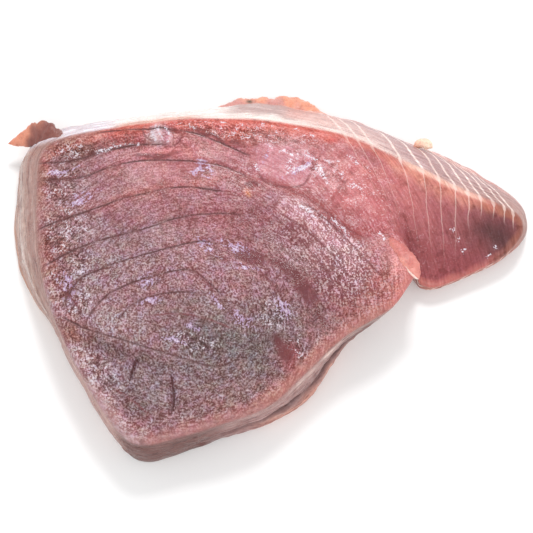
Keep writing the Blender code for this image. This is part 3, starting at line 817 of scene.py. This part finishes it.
def face_tint(x, y, insets, depth):
    """The soft colour of the cut face, flap and rims."""
    noise = 1.5 * grain(x, y, 5.0, 65)
    wide, narrow = insets + noise, insets + 0.5 * noise
    back, left = side_parts(x, y)[:2]
    # The dark left rim is thinned at one spot to leave it lighter, partly for a pale stripe and partly as
    # painted glints
    left_rim_cover = left * (1.0 - 0.8 * patch(x, y, (-97.0, 16.0), (8.0, 10.0), 0.0))
    front_rim = ease(-20.0, -32.0, y - 0.35 * x) * ease(51.0, 40.0, x) * (0.45 + 0.40 * ease(-14.0, 8.0, x))
    lower_left = ease(-34.0, -42.0, y) * ease(-46.0, -54.0, x)
    lower_left = lower_left + 0.8 * patch(x, y, (-90.0, -20.0), (8.0, 8.0), 0.0)
    rims = [
        (BACK_RED, 0.8 * back * ease(6.0, 2.0, wide)),
        (LEFT_RIM, 0.75 * left_rim_cover * ease(8.0, 3.0, wide)),
        (LEFT_EDGE_ROSE, 0.75 * left * ease(3.8, 1.6, narrow)),
        (RIM_PINK, front_rim * ease(7.0, 2.0, wide)),
        (LOWER_LEFT_RIM, 0.85 * lower_left * ease(8.0, 3.0, wide)),
        (GLASSY_PINK, 0.9 * ease(-0.3, 1.2, shield_depth(x, y))),
    ]
    loin = layered(DULL_RED, filled(*pulled_about(x, y), FACE_PATCHES) + rims)

    peach_places, peach_reach = np.array(PEACH_EDGE).T
    peach_depth = (depth + 1.0 * grain(x, 0.15 * y, 1.8, 74)) / np.interp(x, peach_places, peach_reach)
    across, along = x + 1.0 * grain(x, y, 4.0, 73), y + 1.6 * grain(x, 0.2 * y, 2.2, 75)
    below = ease(0.2, 1.0, peach_depth)
    flap_layers = [
        # Peach along the skin, partly the flesh's own and partly a painted glow of the light from behind
        (PEACH, ease(1.15, 0.0, peach_depth)),
        (FLAP_BROWN, 0.8 * ease(1.2, 0.3, peach_depth) * ease(76.0, 94.0, x)),
        *((colour, cover * below) for colour, cover in filled(across, along, FLAP_PATCHES)),
        (FLAP_LOW_RIM, 0.9 * ease(4.0, 1.2, narrow) * ease(101.0, 90.0, x)),
        (FLAP_TIP_RIM, 0.9 * ease(4.0, 1.2, narrow) * ease(90.0, 100.0, x)),
        # Painted glow of the light from behind along the flap's top rim at the skin
        (FLAP_BACK_RIM_GLOW, 0.8 * ease(2.0, 0.5, depth) * ease(50.0, 62.0, x) * ease(96.0, 84.0, x)),
    ]
    return layered(loin, [(layered(FLAP_ROSE, flap_layers), ease(0.35, 0.95, flap_share(x, y)))])


def side_tint(x, y, shares):
    """The soft colour of the skinned sides: back, left end, front end, folded front right, notch and flap."""
    back, left, front, folded = side_parts(x, y)
    left = left * ease(54.0, 49.0, y)
    upper = ease(0.04, 0.22, shares + 0.08 * grain(x, y, 6.0, 70))
    lower = ease(FOLD_LINE + 0.05, FOLD_LINE + 0.2, shares + 0.04 * grain(x, y, 4.0, 66))
    foot = ease(0.62, 0.85, shares + 0.10 * grain(x, y, 6.0, 69))
    left_top = ease(0.40, 0.22, shares + 0.06 * grain(x, y, 6.0, 76))
    left_line = bell((shares - 0.6 - 0.05 * grain(x, y, 8.0, 77)) / 0.08)
    # A painted highlight along the top of the side, stronger towards the right
    fold_highlight_line = bell((shares - 0.06 - 0.06 * grain(x, y, 5.0, 67)) / 0.10)
    fold_highlight_line = fold_highlight_line * (0.6 + 0.4 * grain(x, y, 3.0, 68)) * (0.15 + 0.65 * ease(2.0, 16.0, x))
    frill_foot = back * ease(-36.0, -26.0, x) * ease(30.0, 20.0, x) * ease(0.7, 0.85, shares)
    layers = [
        (SKIN_MAUVE, back * ease(-30.0, 10.0, x)),
        (SKIN_WHITE, back * ease(40.0, 14.0, x) * ease(-94.0, -84.0, x)),
        (SKIN_PEACH, back * ease(-72.0, -68.0, x) * ease(-26.0, -36.0, x) * ease(0.16, 0.06, shares)),
        (SKIN_SHADE, 0.9 * back * ease(-24.0, -12.0, x) * ease(22.0, 8.0, x) * upper),
        (SKIN_SALMON, 0.9 * back * ease(2.0, 12.0, x) * ease(36.0, 24.0, x) * upper),
        (SKIN_LILAC, back * ease(-62.0, -72.0, x) * ease(0.75, 0.4, shares)),
        (LEFT_GREY, left),
        (LEFT_BROWN, 0.6 * left * left_top),
        (LEFT_PALE, 0.8 * left * left_line),
        (LEFT_ORANGE, 0.8 * left * ease(0.86, 0.95, shares)),
        # The front end's dark brown, partly the membrane's own and partly painted shade of a side turned from
        # the light
        (FRONT_BROWN_AND_SHADE, front),
        (FOLD_MAUVE, folded),
        (FOLD_ORANGE, 0.9 * folded * lower * ease(-12.0, 6.0, x)),
        # Painted shade in the crease of the fold
        (FOLD_CREASE_SHADE, folded * bell((shares - FOLD_LINE) / 0.09)),
        # Painted highlight along the upper edge of the fold
        (FOLD_EDGE_HIGHLIGHT, folded * fold_highlight_line),
        (SKIN_PINK, 0.9 * back * ease(8.0, 28.0, x) * foot),
        (SKIN_ROSY, 0.6 * back * ease(8.0, 18.0, x) * ease(60.0, 40.0, x) * ease(0.6, 0.3, shares)),
        (FRILL_PINK, frill_foot * (0.3 + 0.7 * ease(-4.0, 8.0, x))),
        (NOTCH_RED, patch(x, y, (60.5, -7.0), (7.0, 6.0), 0.0)),
        (FLAP_UNDER, ease(60.0, 68.0, x) * ease(16.0, 6.0, y)),
    ]
    return layered(SKIN_BROWN, layers)


def flesh_marks(rings, shares, insets, strip):
    """The marks that the material reads: the soft colour of each place, and what its details follow."""
    x, y = rings[..., 0], rings[..., 1]
    across, along = pulled_about(x, y)
    on_flap = flap_share(x, y)
    on_side = ease(-0.45, 0.1, shares) * ease(1.3, 1.05, shares)
    back = side_parts(x, y)[0]
    septum, septum_strength, depth = septum_field(x, y, shares)

    grains = 0.75 + 0.30 * ease(20.0, -10.0, y) + 0.25 * ease(-70.0, -90.0, x)
    grains -= 0.50 * ease(-20.0, -32.0, y - 0.35 * x) * ease(6.0, 2.0, insets)
    grains -= summed(across, along, SMOOTH_FLESH) + summed(x, y, SMOOTH_LIP_AND_BLISTER)
    grains = np.clip(grains, 0.0, 1.3) * (1.0 - 0.85 * on_flap) * (0.35 + 0.65 * ease(0.5, 3.5, insets))
    flecks = (0.10 + summed(across, along, FLECKED)) * (1.0 - 0.95 * patch(x, y, *FLECKLESS_LIP))
    membrane = back * ease(-34.0, -20.0, x) * ease(66.0, 50.0, x) * bell((shares + 0.12) / 0.22)
    away, turn = np.hypot(x - BULLSEYE[0], y - BULLSEYE[1]), np.arctan2(y - BULLSEYE[1], x - BULLSEYE[0])
    fibre = (away * FIBRE_STEP, FIBRE_ROUND * np.cos(turn), FIBRE_ROUND * np.sin(turn))
    marks = {
        "tint": layered(face_tint(x, y, insets, depth), [(side_tint(x, y, shares), on_side)]),
        "fibre": np.stack(fibre, axis=-1),
        "strip": strip,
        "share": shares,
        "grains": grains,
        "wet": spots(x, y, WET_SPOTS),
        "mirror": spots(x, y, MIRROR_SPOTS),
        "rough": spots(x, y, ROUGH_SPOTS) * ease(0.4, 2.4, insets),
        "flecks": np.clip(flecks, 0.0, 1.0) * (1.0 - on_flap) * ease(1.0, 4.0, insets),
        "ropes": patch(across, along, *ROPY) * (1.0 - on_flap),
        "sparks": summed(across, along, SPARKLING) + patch(x, y, *SPARKLING_BLISTER),
        "glint": glint_distance(x, y),
        "shield": shield_depth(x, y),
        "shield_strength": 0.3 + 0.7 * ease(37.0, 31.0, y),
        "septum": septum,
        "septum_strength": septum_strength,
        "depth": depth,
        "membrane": membrane,
        "weathered": 1.0 - 0.6 * back * ease(-90.0, -80.0, x),
    }
    for name, lines, signs, taper in (
        ("seam", SEAMS, SEAM_SIGNS, SEAM_TAPER),
        ("crease", (CREASE,), (1,), SEAM_TAPER),
        ("hairline", HAIRLINES, HAIRLINE_SIGNS, 4.0),
        ("gap", GAPS, GAP_SIGNS, 4.0),
    ):
        marks[name], marks[name + "_strength"] = seam_field(lines, signs, taper, x, y)
    marks["seam_strength"] *= 1.0 - on_flap
    return marks


rings, shares, insets, strip = slab_rings()
slab = closed_skin("fillet_flesh", rings, flesh_marks(rings, shares, insets, strip))
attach(slab, "root")
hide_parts("fillet")


class Shade:
    """A socket of a material. Sums with it add Math nodes, and node adds any other kind."""

    def __init__(self, tree, socket=None):
        self.tree = tree
        self.socket = socket

    def node(self, kind, settings, inputs, output=0):
        """Add a node, set its settings first, then give its sockets their values or links."""
        made = self.tree.nodes.new(kind)
        for name, value in settings.items():
            setattr(made, name, value)
        for name, value in inputs.items():
            if isinstance(value, Shade):
                self.tree.links.new(value.socket, made.inputs[name])
            else:
                made.inputs[name].default_value = value
        return Shade(self.tree, made.outputs[output])

    def maths(self, operation, *terms):
        """A Math node on up to three numbers or sockets."""
        return self.node("ShaderNodeMath", {"operation": operation}, dict(enumerate(terms)))

    def __add__(self, other):
        return self.maths("ADD", self, other)

    def __sub__(self, other):
        return self.maths("SUBTRACT", self, other)

    def __rsub__(self, other):
        return self.maths("SUBTRACT", other, self)

    def __mul__(self, other):
        return self.maths("MULTIPLY", self, other)

    def __truediv__(self, other):
        return self.maths("DIVIDE", self, other)

    def __abs__(self):
        return self.maths("ABSOLUTE", self)

    __radd__ = __add__
    __rmul__ = __mul__

    def rise(self, low, high):
        """A smooth step from 0 at low to 1 at high, or falling where low is the higher."""
        sockets = {"Value": self, "From Min": min(low, high), "From Max": max(low, high)}
        step = self.node("ShaderNodeMapRange", {"interpolation_type": "SMOOTHSTEP"}, sockets)
        return 1.0 - step if low > high else step

    def mark(self, name, output="Fac"):
        """A number, or with Vector or Color as the output a vector or colour, kept on the mesh's points."""
        return self.node("ShaderNodeAttribute", {"attribute_name": name}, {}, output)

    def stretched(self, across, along, down):
        """This vector with each of its three parts scaled."""
        sockets = {0: self, 1: (across, along, down)}
        return self.node("ShaderNodeVectorMath", {"operation": "MULTIPLY"}, sockets)

    def noise(self, size, detail=2.0, roughness=0.5):
        """Noise from 0 to 1 on this vector, with cells of the given size."""
        sockets = {"Vector": self, "Scale": 1.0 / size, "Detail": detail, "Roughness": roughness}
        return self.node("ShaderNodeTexNoise", {}, sockets, "Fac")

    def under(self, mask, above, way="MIX"):
        """This colour with another, a socket or three numbers, laid over it as far as the mask goes."""
        colours = {0: mask, 6: self, 7: above if isinstance(above, Shade) else (*above, 1.0)}
        return self.node("ShaderNodeMix", {"data_type": "RGBA", "blend_type": way}, colours, 2)

    def stained(self, mask, stain):
        """This colour times another as far as the mask goes."""
        return self.under(mask, stain, "MULTIPLY")

    def drawn(self, name, wander, outer, inner):
        """A line along a mark's zero, full within inner of it, gone by outer, as strong as its strength."""
        return abs(self.mark(name) + wander).rise(outer, inner) * self.mark(name + "_strength")


def flesh_material(name):
    """An empty material, a socket to start from, and each point's place on the slab in millimetres."""
    material = bpy.data.materials.new(name)
    material.use_nodes = True
    material.node_tree.nodes.clear()
    shade = Shade(material.node_tree)
    place = shade.node("ShaderNodeTexCoord", {}, {}, "Object").stretched(1.0 / MM, 1.0 / MM, 1.0 / MM)
    return material, shade, place


def moist_surface(shade, base, roughness, height, bump, glow):
    """Close a material with a moist surface. Bump is its strength and depth, glow the light from below."""
    sockets = {"Strength": bump[0], "Distance": bump[1] * MM, "Height": height}
    surface = shade.node(
        "ShaderNodeBsdfPrincipled",
        {},
        {
            "Base Color": base,
            "Roughness": roughness,
            "Normal": shade.node("ShaderNodeBump", {}, sockets, "Normal"),
            "IOR": 1.42,
            "Subsurface Weight": glow,
            "Subsurface Radius": (1.0, 0.35, 0.25),
            "Subsurface Scale": 2.0 * MM,
        },
    )
    output = shade.tree.nodes.new("ShaderNodeOutputMaterial")
    shade.tree.links.new(surface.socket, output.inputs["Surface"])


DARKER = (0.50, 0.29, 0.29)
LIGHTER = (1.38, 1.66, 1.70)
ROSIER = (1.03, 0.87, 0.90)
GREYER = (0.97, 1.14, 1.14)
MORE_VIOLET = (1.0, 0.99, 1.13)
MORE_OLIVE = (0.98, 0.99, 0.88)
PALE_FLECK_AND_SPARKLE = (0.78, 0.560, 0.600)
DEEPER = (0.55, 0.40, 0.40)
GLINT_WHITE = (0.80, 0.72, 0.80)
MIRROR_LAVENDER = (0.47, 0.33, 0.51)
SEAM_BROWN = (0.080, 0.020, 0.020)
SEAM_SHADE_BROWN = (0.150, 0.044, 0.045)
SEPTUM_WHITE = (0.88, 0.68, 0.62)
STREAK_LIGHT = (1.45, 1.70, 1.75)
STREAK_DARK = (0.48, 0.37, 0.39)

flesh, shade, place = flesh_material("raw_flesh")
share = shade.mark("share")
on_side = share.rise(-0.35, 0.05) * share.rise(1.3, 1.05)
on_face = 1.0 - on_side
grains = shade.mark("grains") * on_face
smooth = (1.0 - shade.mark("grains")) * on_face
varied = on_face * (0.25 + 0.75 * shade.mark("grains"))
wet = shade.mark("wet")
mirror = shade.mark("mirror")
rough = shade.mark("rough") * on_face
fibre = shade.mark("fibre", "Vector")

# Noise of the flesh: clouds and tints, lumps and fine grains, rows and ropes round the bullseye, streaks
# along the side, and cracks and worms where a noise crosses its middle
cloud = place.noise(8.0, detail=3.0)
rosy = place.noise(4.5, detail=3.0, roughness=0.6)
violet = place.noise(4.0, detail=2.0, roughness=0.6)
lumps = place.noise(2.4, detail=2.0)
fine = place.noise(0.75, detail=2.0, roughness=0.6)
rows = fibre.noise(1.3, detail=2.0, roughness=0.6)
ropes = fibre.noise(4.5, detail=2.0, roughness=0.55)
streaks = shade.mark("strip", "Vector").stretched(0.11, 0.11, 1.0).noise(1.4, detail=3.0, roughness=0.65)
streaks = streaks * 0.85 + lumps * 0.15
grit = place.noise(0.80, detail=1.0)
mottle = fine * 0.65 + rows * 0.35
blotches = cloud * 0.5 + lumps * 0.5
cracks = abs(place.noise(5.0, detail=4.0, roughness=0.6) - 0.5).rise(0.014, 0.0)
worms = abs(place.noise(1.7, detail=1.5) - 0.5).rise(0.045, 0.015)

# The cut: crackled where it dried, with rows of fibre, ropes, pale flecks that are partly painted sparkle,
# blotches, and dark wet pools
base = shade.mark("tint", "Color")
dark = base.stained(1.0, DARKER)
light = base.stained(1.0, LIGHTER).under(0.05, GLINT_WHITE)
grainy = dark.under(mottle.rise(0.43, 0.58), light)
base = base.stained(rows.rise(0.52, 0.66) * smooth * 0.45, LIGHTER)
base = base.stained(rows.rise(0.47, 0.34) * smooth * 0.4, DEEPER)
wet_edge = wet + (mottle - 0.5) * 1.2 + (lumps - 0.5) * 0.5
dry = 1.0 - wet_edge.rise(0.35, 0.75)
base = base.under(grains * dry * 0.9, grainy)
base = base.under(ropes.rise(0.50, 0.40) * shade.mark("ropes") * on_face * 0.6, WINE)
# Pale flecks, partly the flesh's own and partly painted sparkle
flecked = (grit * 0.6 + rows * 0.4).rise(0.51, 0.57) * shade.mark("flecks") * dry
base = base.under(flecked * on_face * 0.9, PALE_FLECK_AND_SPARKLE)
base = base.stained(blotches.rise(0.47, 0.36) * on_face * 0.55, DEEPER)
base = base.stained(blotches.rise(0.54, 0.64) * grains * 0.3, LIGHTER)
base = base.stained(rosy.rise(0.50, 0.66) * varied, ROSIER)
base = base.stained(rosy.rise(0.50, 0.34) * varied, GREYER)
base = base.stained(violet.rise(0.50, 0.66) * varied, MORE_VIOLET)
base = base.stained(violet.rise(0.50, 0.34) * varied, MORE_OLIVE)
base = base.stained(cracks * grains * 0.55, DEEPER)
pools = wet_edge.rise(0.30, 0.75) * (rows + lumps).rise(0.70, 1.00)
base = base.under(pools * 0.75 * on_face, WET_WINE)

# Pale sparkle on the rough and grainy places, and lavender light that the wet places mirror
pits = rough.rise(0.2, 0.7) * (mottle * 0.6 + lumps * 0.4).rise(0.50, 0.44)
base = base.stained(pits * 0.65, DEEPER)
wriggles = rough.rise(0.15, 0.6) * worms * (lumps + fine * 0.6).rise(0.78, 0.92)
base = base.under(wriggles * 0.7, GLINT_WHITE)
base = base.under((mottle + lumps * 0.3).rise(0.74, 0.81) * grains * (0.15 + rough * 0.5), GLINT_WHITE)
sparks = (fine * 0.7 + lumps * 0.3).rise(0.58, 0.63) * shade.mark("sparks")
base = base.under(sparks * on_face * 0.6, PALE_FLECK_AND_SPARKLE)
mirror_edge = mirror + (fine - 0.5) * 2.0 + (rows - 0.5) * 3.0 + (lumps - 0.5) * 2.4
mirror_near = mirror.rise(0.1, 0.4) * on_face
base = base.under(mirror_edge.rise(0.64, 0.94) * mirror_near * 0.8, MIRROR_LAVENDER)
base = base.under(mirror_edge.rise(1.20, 1.50) * mirror_near * 0.6, GLINT_WHITE)

# Lines drawn on the cut: seams with a soft band of painted shade beside them, the belly's crease in painted
# shade, hairlines, gaps, the clear patch's edge and the single glints
wobble = (fine - 0.5) * 0.6 + (lumps - 0.5) * 0.5
uneven = cloud.rise(0.36, 0.56) * 0.6 + 0.4
seam_line = shade.drawn("seam", wobble, 0.6, 0.1) * uneven
gap_line = shade.drawn("gap", wobble * 2.0, 0.55, 0.15)
# Painted shade: a soft brown band either side of each seam, stronger where the cut is rough
base = base.under(shade.drawn("seam", wobble, 1.9, 0.2) * (0.15 + rough * 0.6) * on_face, SEAM_SHADE_BROWN)
base = base.under(seam_line * on_face * 0.85, SEAM_BROWN)
# Painted shade in the step of the belly's crease: a wide dark red band, and a thin wine line along it
base = base.under(shade.drawn("crease", wobble * 2.0, 3.6, 0.6) * on_face * 0.6, DEEP_RED)
base = base.under(shade.drawn("crease", wobble, 0.8, 0.2) * on_face * 0.4, WINE)
base = base.under(shade.drawn("hairline", wobble, 0.7, 0.1) * uneven * on_face * 0.75, WINE)
base = base.under(gap_line * on_face * 0.9, SEAM_BROWN)
base = base.under(shade.drawn("shield", wobble, 0.7, 0.2) * on_face * 0.6, WINE)
glints = (shade.mark("glint") + (fine - 0.5) * 5.0 - 0.1).rise(0.35, 0.05)
base = base.under(glints * on_face * 0.8, GLINT_WHITE)

# White septa, widest at the skin and thinner as they run into the face
septum_width = 0.22 + shade.mark("depth").rise(1.8, 0.0) * 0.5 * on_face + on_side * 0.36
septum_line = (abs(shade.mark("septum") + wobble * 0.6) / septum_width).rise(1.6, 0.5)
faded = 0.6 + 0.4 * shade.mark("depth").rise(12.0, 0.0)
septum_amount = (0.2 + cloud * 0.6 + on_side * 0.4) * (faded * on_face + on_side)
base = base.under(septum_line * shade.mark("septum_strength") * septum_amount, SEPTUM_WHITE)

# The sides: streaks along them, the dark ones fainter at the back, and membrane at the back rim
base = base.stained(streaks.rise(0.50, 0.66) * on_side * 0.8, STREAK_LIGHT)
base = base.stained(streaks.rise(0.47, 0.36) * on_side * shade.mark("weathered") * 0.8, STREAK_DARK)
base = base.stained(fine.rise(0.5, 0.38) * on_side * 0.3, DEEPER)
base = base.under(shade.mark("membrane") * (streaks + fine * 0.5).rise(0.62, 0.80) * 0.95, SEPTUM_WHITE)

height = mottle * (0.3 + grains) * 0.8 + lumps * 0.5 + worms * rough * 0.3 - seam_line * 0.3 - gap_line
height = height + streaks * on_side * 1.2
roughness = 0.30 + (cloud - 0.5) * 0.25 - wet.rise(0.2, 0.6) * 0.1 - mirror.rise(0.3, 0.6) * 0.06
moist_surface(shade, base, roughness, height, (0.8, 0.5), 0.1)
slab.data.materials.append(flesh)


# The scraps, of the same raw flesh. A torn corner sticks out at the back left, the foot of the back skin is
# pulled into a frill, a crumb lies on the skin, and the knife turned up a lip of flesh at the notch, with a
# white edge of membrane. Each is a flattened strand: x, y, z, half width and half height of its stations.

STRAND_STEPS = 14
STRAND_COLUMNS = 48
CORNER_SCRAP = (
    (-83.0, 48.5, 17.5, 0.0, 0.0),
    (-88.0, 52.4, 17.4, 2.8, 3.0),
    (-94.0, 55.6, 16.4, 4.6, 2.8),
    (-100.0, 57.8, 14.4, 6.4, 2.3),
    (-104.6, 57.6, 12.4, 4.6, 1.8),
    (-109.0, 57.0, 10.6, 2.8, 1.4),
    (-112.6, 56.4, 9.4, 1.6, 1.0),
    (-115.4, 55.8, 8.8, 0.0, 0.0),
)
FRILL = (
    (29.0, 70.5, 2.6, 0.0, 0.0),
    (22.0, 72.4, 3.2, 2.2, 1.0),
    (16.5, 74.4, 3.6, 4.3, 1.4),
    (9.5, 77.0, 3.8, 5.2, 1.6),
    (4.8, 77.2, 3.8, 4.6, 1.5),
    (1.8, 77.2, 3.8, 3.5, 1.4),
    (-1.5, 77.4, 3.8, 3.9, 1.4),
    (-8.0, 77.2, 3.6, 3.5, 1.3),
    (-14.0, 77.2, 3.4, 3.4, 1.2),
    (-18.5, 76.3, 3.2, 2.4, 1.0),
    (-23.0, 75.4, 3.0, 1.3, 0.8),
    (-28.0, 74.8, 2.6, 0.0, 0.0),
)
CRUMB = (
    (62.4, 55.0, 7.4, 0.0, 0.0),
    (64.2, 55.8, 8.0, 1.7, 1.3),
    (67.0, 56.2, 8.4, 2.5, 1.6),
    (69.4, 55.2, 8.2, 2.0, 1.3),
    (70.8, 54.2, 7.6, 0.0, 0.0),
)
LIP = (
    (47.6, 6.6, 26.8, 0.0, 0.0),
    (50.4, 3.4, 27.6, 1.9, 0.9),
    (52.8, -0.4, 28.4, 2.8, 1.2),
    (56.0, -5.2, 29.2, 3.3, 1.3),
    (58.5, -9.4, 28.9, 2.7, 1.3),
    (60.0, -12.6, 28.2, 0.0, 0.0),
)
LIP_MEMBRANE = (
    (51.8, -3.2, 29.1, 0.0, 0.0),
    (53.0, -5.0, 29.5, 0.25, 0.3),
    (54.6, -7.6, 29.8, 0.3, 0.35),
    (56.4, -10.2, 29.8, 0.4, 0.4),
    (58.6, -12.2, 29.1, 0.4, 0.4),
    (60.0, -12.4, 28.4, 0.0, 0.0),
)
SCRAP_ORANGE = (0.70, 0.280, 0.185)
SCRAP_BROWN = (0.25, 0.090, 0.075)
FRILL_ORANGE = (0.80, 0.330, 0.215)
FRILL_ROSE = (0.64, 0.290, 0.260)
CRUMB_PEACH = (0.93, 0.700, 0.540)
SPECK_OLIVE = (0.10, 0.080, 0.050)
SPECK = ((-9.6, 78.3), (1.6, 1.2), -30.0)
LIP_ROSE = (0.56, 0.165, 0.150)
LIP_PINK = (0.72, 0.290, 0.245)
MEMBRANE_WHITE = (0.88, 0.620, 0.560)


def strand(stations, lean, ragged, seed):
    """Rings of a flattened strand with an uneven skin, with each point's share along and place across it.

    Its right-hand edge, seen along it, rises by lean times its distance from the middle, and wanders by
    ragged times the half width.
    """
    curve = curve_through(stations, STRAND_STEPS, closed=False)
    heading = np.gradient(curve[:, :3], axis=0)
    across = np.c_[heading[:, 1], -heading[:, 0], lean * np.hypot(heading[:, 0], heading[:, 1])]
    above = np.cross(across, heading)
    across /= np.linalg.norm(across, axis=1)[:, None]
    above /= np.linalg.norm(above, axis=1)[:, None]
    travelled = np.r_[0.0, np.cumsum(np.linalg.norm(np.diff(curve[:, :3], axis=0), axis=1))][:, None]
    turn = np.arange(STRAND_COLUMNS) / STRAND_COLUMNS * 2.0 * np.pi
    u, v = travelled + 1.6 * np.cos(turn), 0.4 * travelled + 1.6 * np.sin(turn)
    skin = 1.0 + 0.16 * grain(u, v, 1.8, seed) + 0.08 * grain(u, v, 0.8, seed + 1)
    wander = ragged * grain(travelled, 0.0 * travelled, 3.0, seed + 2)
    wide = curve[:, 3:4] * skin * (1.0 + wander * np.maximum(np.cos(turn), 0.0) ** 2) * np.cos(turn)
    high = curve[:, 4:5] * skin * np.sin(turn)
    rings = curve[:, None, :3] + across[:, None] * wide[..., None] + above[:, None] * high[..., None]
    return rings, travelled / travelled[-1] + 0.0 * turn, np.cos(turn) + 0.0 * travelled


def torn_piece(name, stations, lean, ragged, seed, colours, split):
    """A strand as a piece of the slab, in two colours, with a bit of dark skin on it where SPECK lies.

    The split between the colours is how fast they part across it and along it, and how far along.
    """
    rings, along, across = strand(stations, lean, ragged, seed)
    uneven = 0.6 * grain(rings[..., 0], rings[..., 1] + rings[..., 2], 4.0, seed + 3)
    share = ease(-0.5, 0.5, split[0] * across + split[1] * (along - split[2]) + uneven)
    speck = patch(rings[..., 0], rings[..., 1], *SPECK)
    tint = layered(colours[0], [(colours[1], share), (SPECK_OLIVE, speck)])
    piece = closed_skin(name, rings, {"tint": tint})
    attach(piece, "root")
    return piece


scraps = [
    torn_piece("corner_scrap", CORNER_SCRAP, 0.3, 0.10, 81, (SCRAP_ORANGE, SCRAP_BROWN), (-0.5, -5.0, 0.74)),
    torn_piece("back_frill", FRILL, -0.5, 0.3, 85, (FRILL_ORANGE, FRILL_ROSE), (-0.6, 1.8, 0.5)),
    torn_piece("skin_crumb", CRUMB, 0.0, 0.2, 89, (CRUMB_PEACH, FRILL_PINK), (0.0, -1.0, 0.5)),
    torn_piece("belly_lip", LIP, 0.1, 0.2, 93, (LIP_ROSE, LIP_PINK), (0.5, 1.4, 0.5)),
    torn_piece("lip_membrane", LIP_MEMBRANE, 0.0, 0.2, 97, (MEMBRANE_WHITE, LIP_PINK), (0.0, -1.0, 0.5)),
]

torn, shade, place = flesh_material("torn_flesh")
fine = place.noise(0.9, detail=2.0, roughness=0.6)
lumps = place.noise(2.4, detail=2.0)
mottle = fine * 0.4 + lumps * 0.6
base = shade.mark("tint", "Color")
base = base.stained(mottle.rise(0.48, 0.38) * 0.3, DARKER)
base = base.stained(mottle.rise(0.53, 0.64) * 0.3, LIGHTER)
moist_surface(shade, base, 0.3, fine + lumps, (0.7, 0.4), 0.15)
for scrap in scraps:
    scrap.data.materials.append(torn)


# The stage: a plain white floor, a bright even sky, a soft light behind and above that makes the wet flesh
# glint, and a wider, weaker one in front. The camera looks down steeply from the front.

FLOOR_SIDE = 3.0
FLOOR_WHITE = (0.92, 0.92, 0.92, 1.0)
SKY_STRENGTH = 0.8
CAMERA_LENS = 85.0
CAMERA_PITCH = math.radians(72.0)
CAMERA_DISTANCE = 0.5286
CAMERA_TARGET = Vector((0.00075, -0.00063, 0.014))

bpy.ops.mesh.primitive_plane_add(size=FLOOR_SIDE)
floor = bpy.context.object
floor.name = "floor"
paper = bpy.data.materials.new("white_floor")
paper.use_nodes = True
paper_surface = paper.node_tree.nodes["Principled BSDF"]
paper_surface.inputs["Base Color"].default_value = FLOOR_WHITE
paper_surface.inputs["Roughness"].default_value = 0.8
floor.data.materials.append(paper)

world = bpy.data.worlds.new("studio")
bpy.context.scene.world = world
world.use_nodes = True
world.node_tree.nodes["Background"].inputs["Color"].default_value = (1.0, 1.0, 1.0, 1.0)
world.node_tree.nodes["Background"].inputs["Strength"].default_value = SKY_STRENGTH


def soft_light(name, place, size, power):
    """A square area light at a place in metres, turned to the fillet."""
    lamp = bpy.data.lights.new(name, "AREA")
    lamp.size = size
    lamp.energy = power
    light = bpy.data.objects.new(name, lamp)
    light.location = place
    light.rotation_euler = (-Vector(place)).to_track_quat("-Z", "Y").to_euler()
    bpy.context.scene.collection.objects.link(light)


soft_light("back_light", (0.1, 0.75, 0.9), 0.25, 6.0)
soft_light("front_light", (0.15, -0.95, 0.75), 0.8, 5.0)

camera = bpy.data.objects.new("camera", bpy.data.cameras.new("camera"))
camera.data.lens = CAMERA_LENS
camera_side = Vector((0.0, -math.cos(CAMERA_PITCH), math.sin(CAMERA_PITCH)))
camera.location = CAMERA_TARGET + camera_side * CAMERA_DISTANCE
camera.rotation_euler = (CAMERA_TARGET - camera.location).to_track_quat("-Z", "Y").to_euler()
bpy.context.scene.collection.objects.link(camera)
bpy.context.scene.camera = camera
bpy.context.scene.view_settings.view_transform = "Standard"
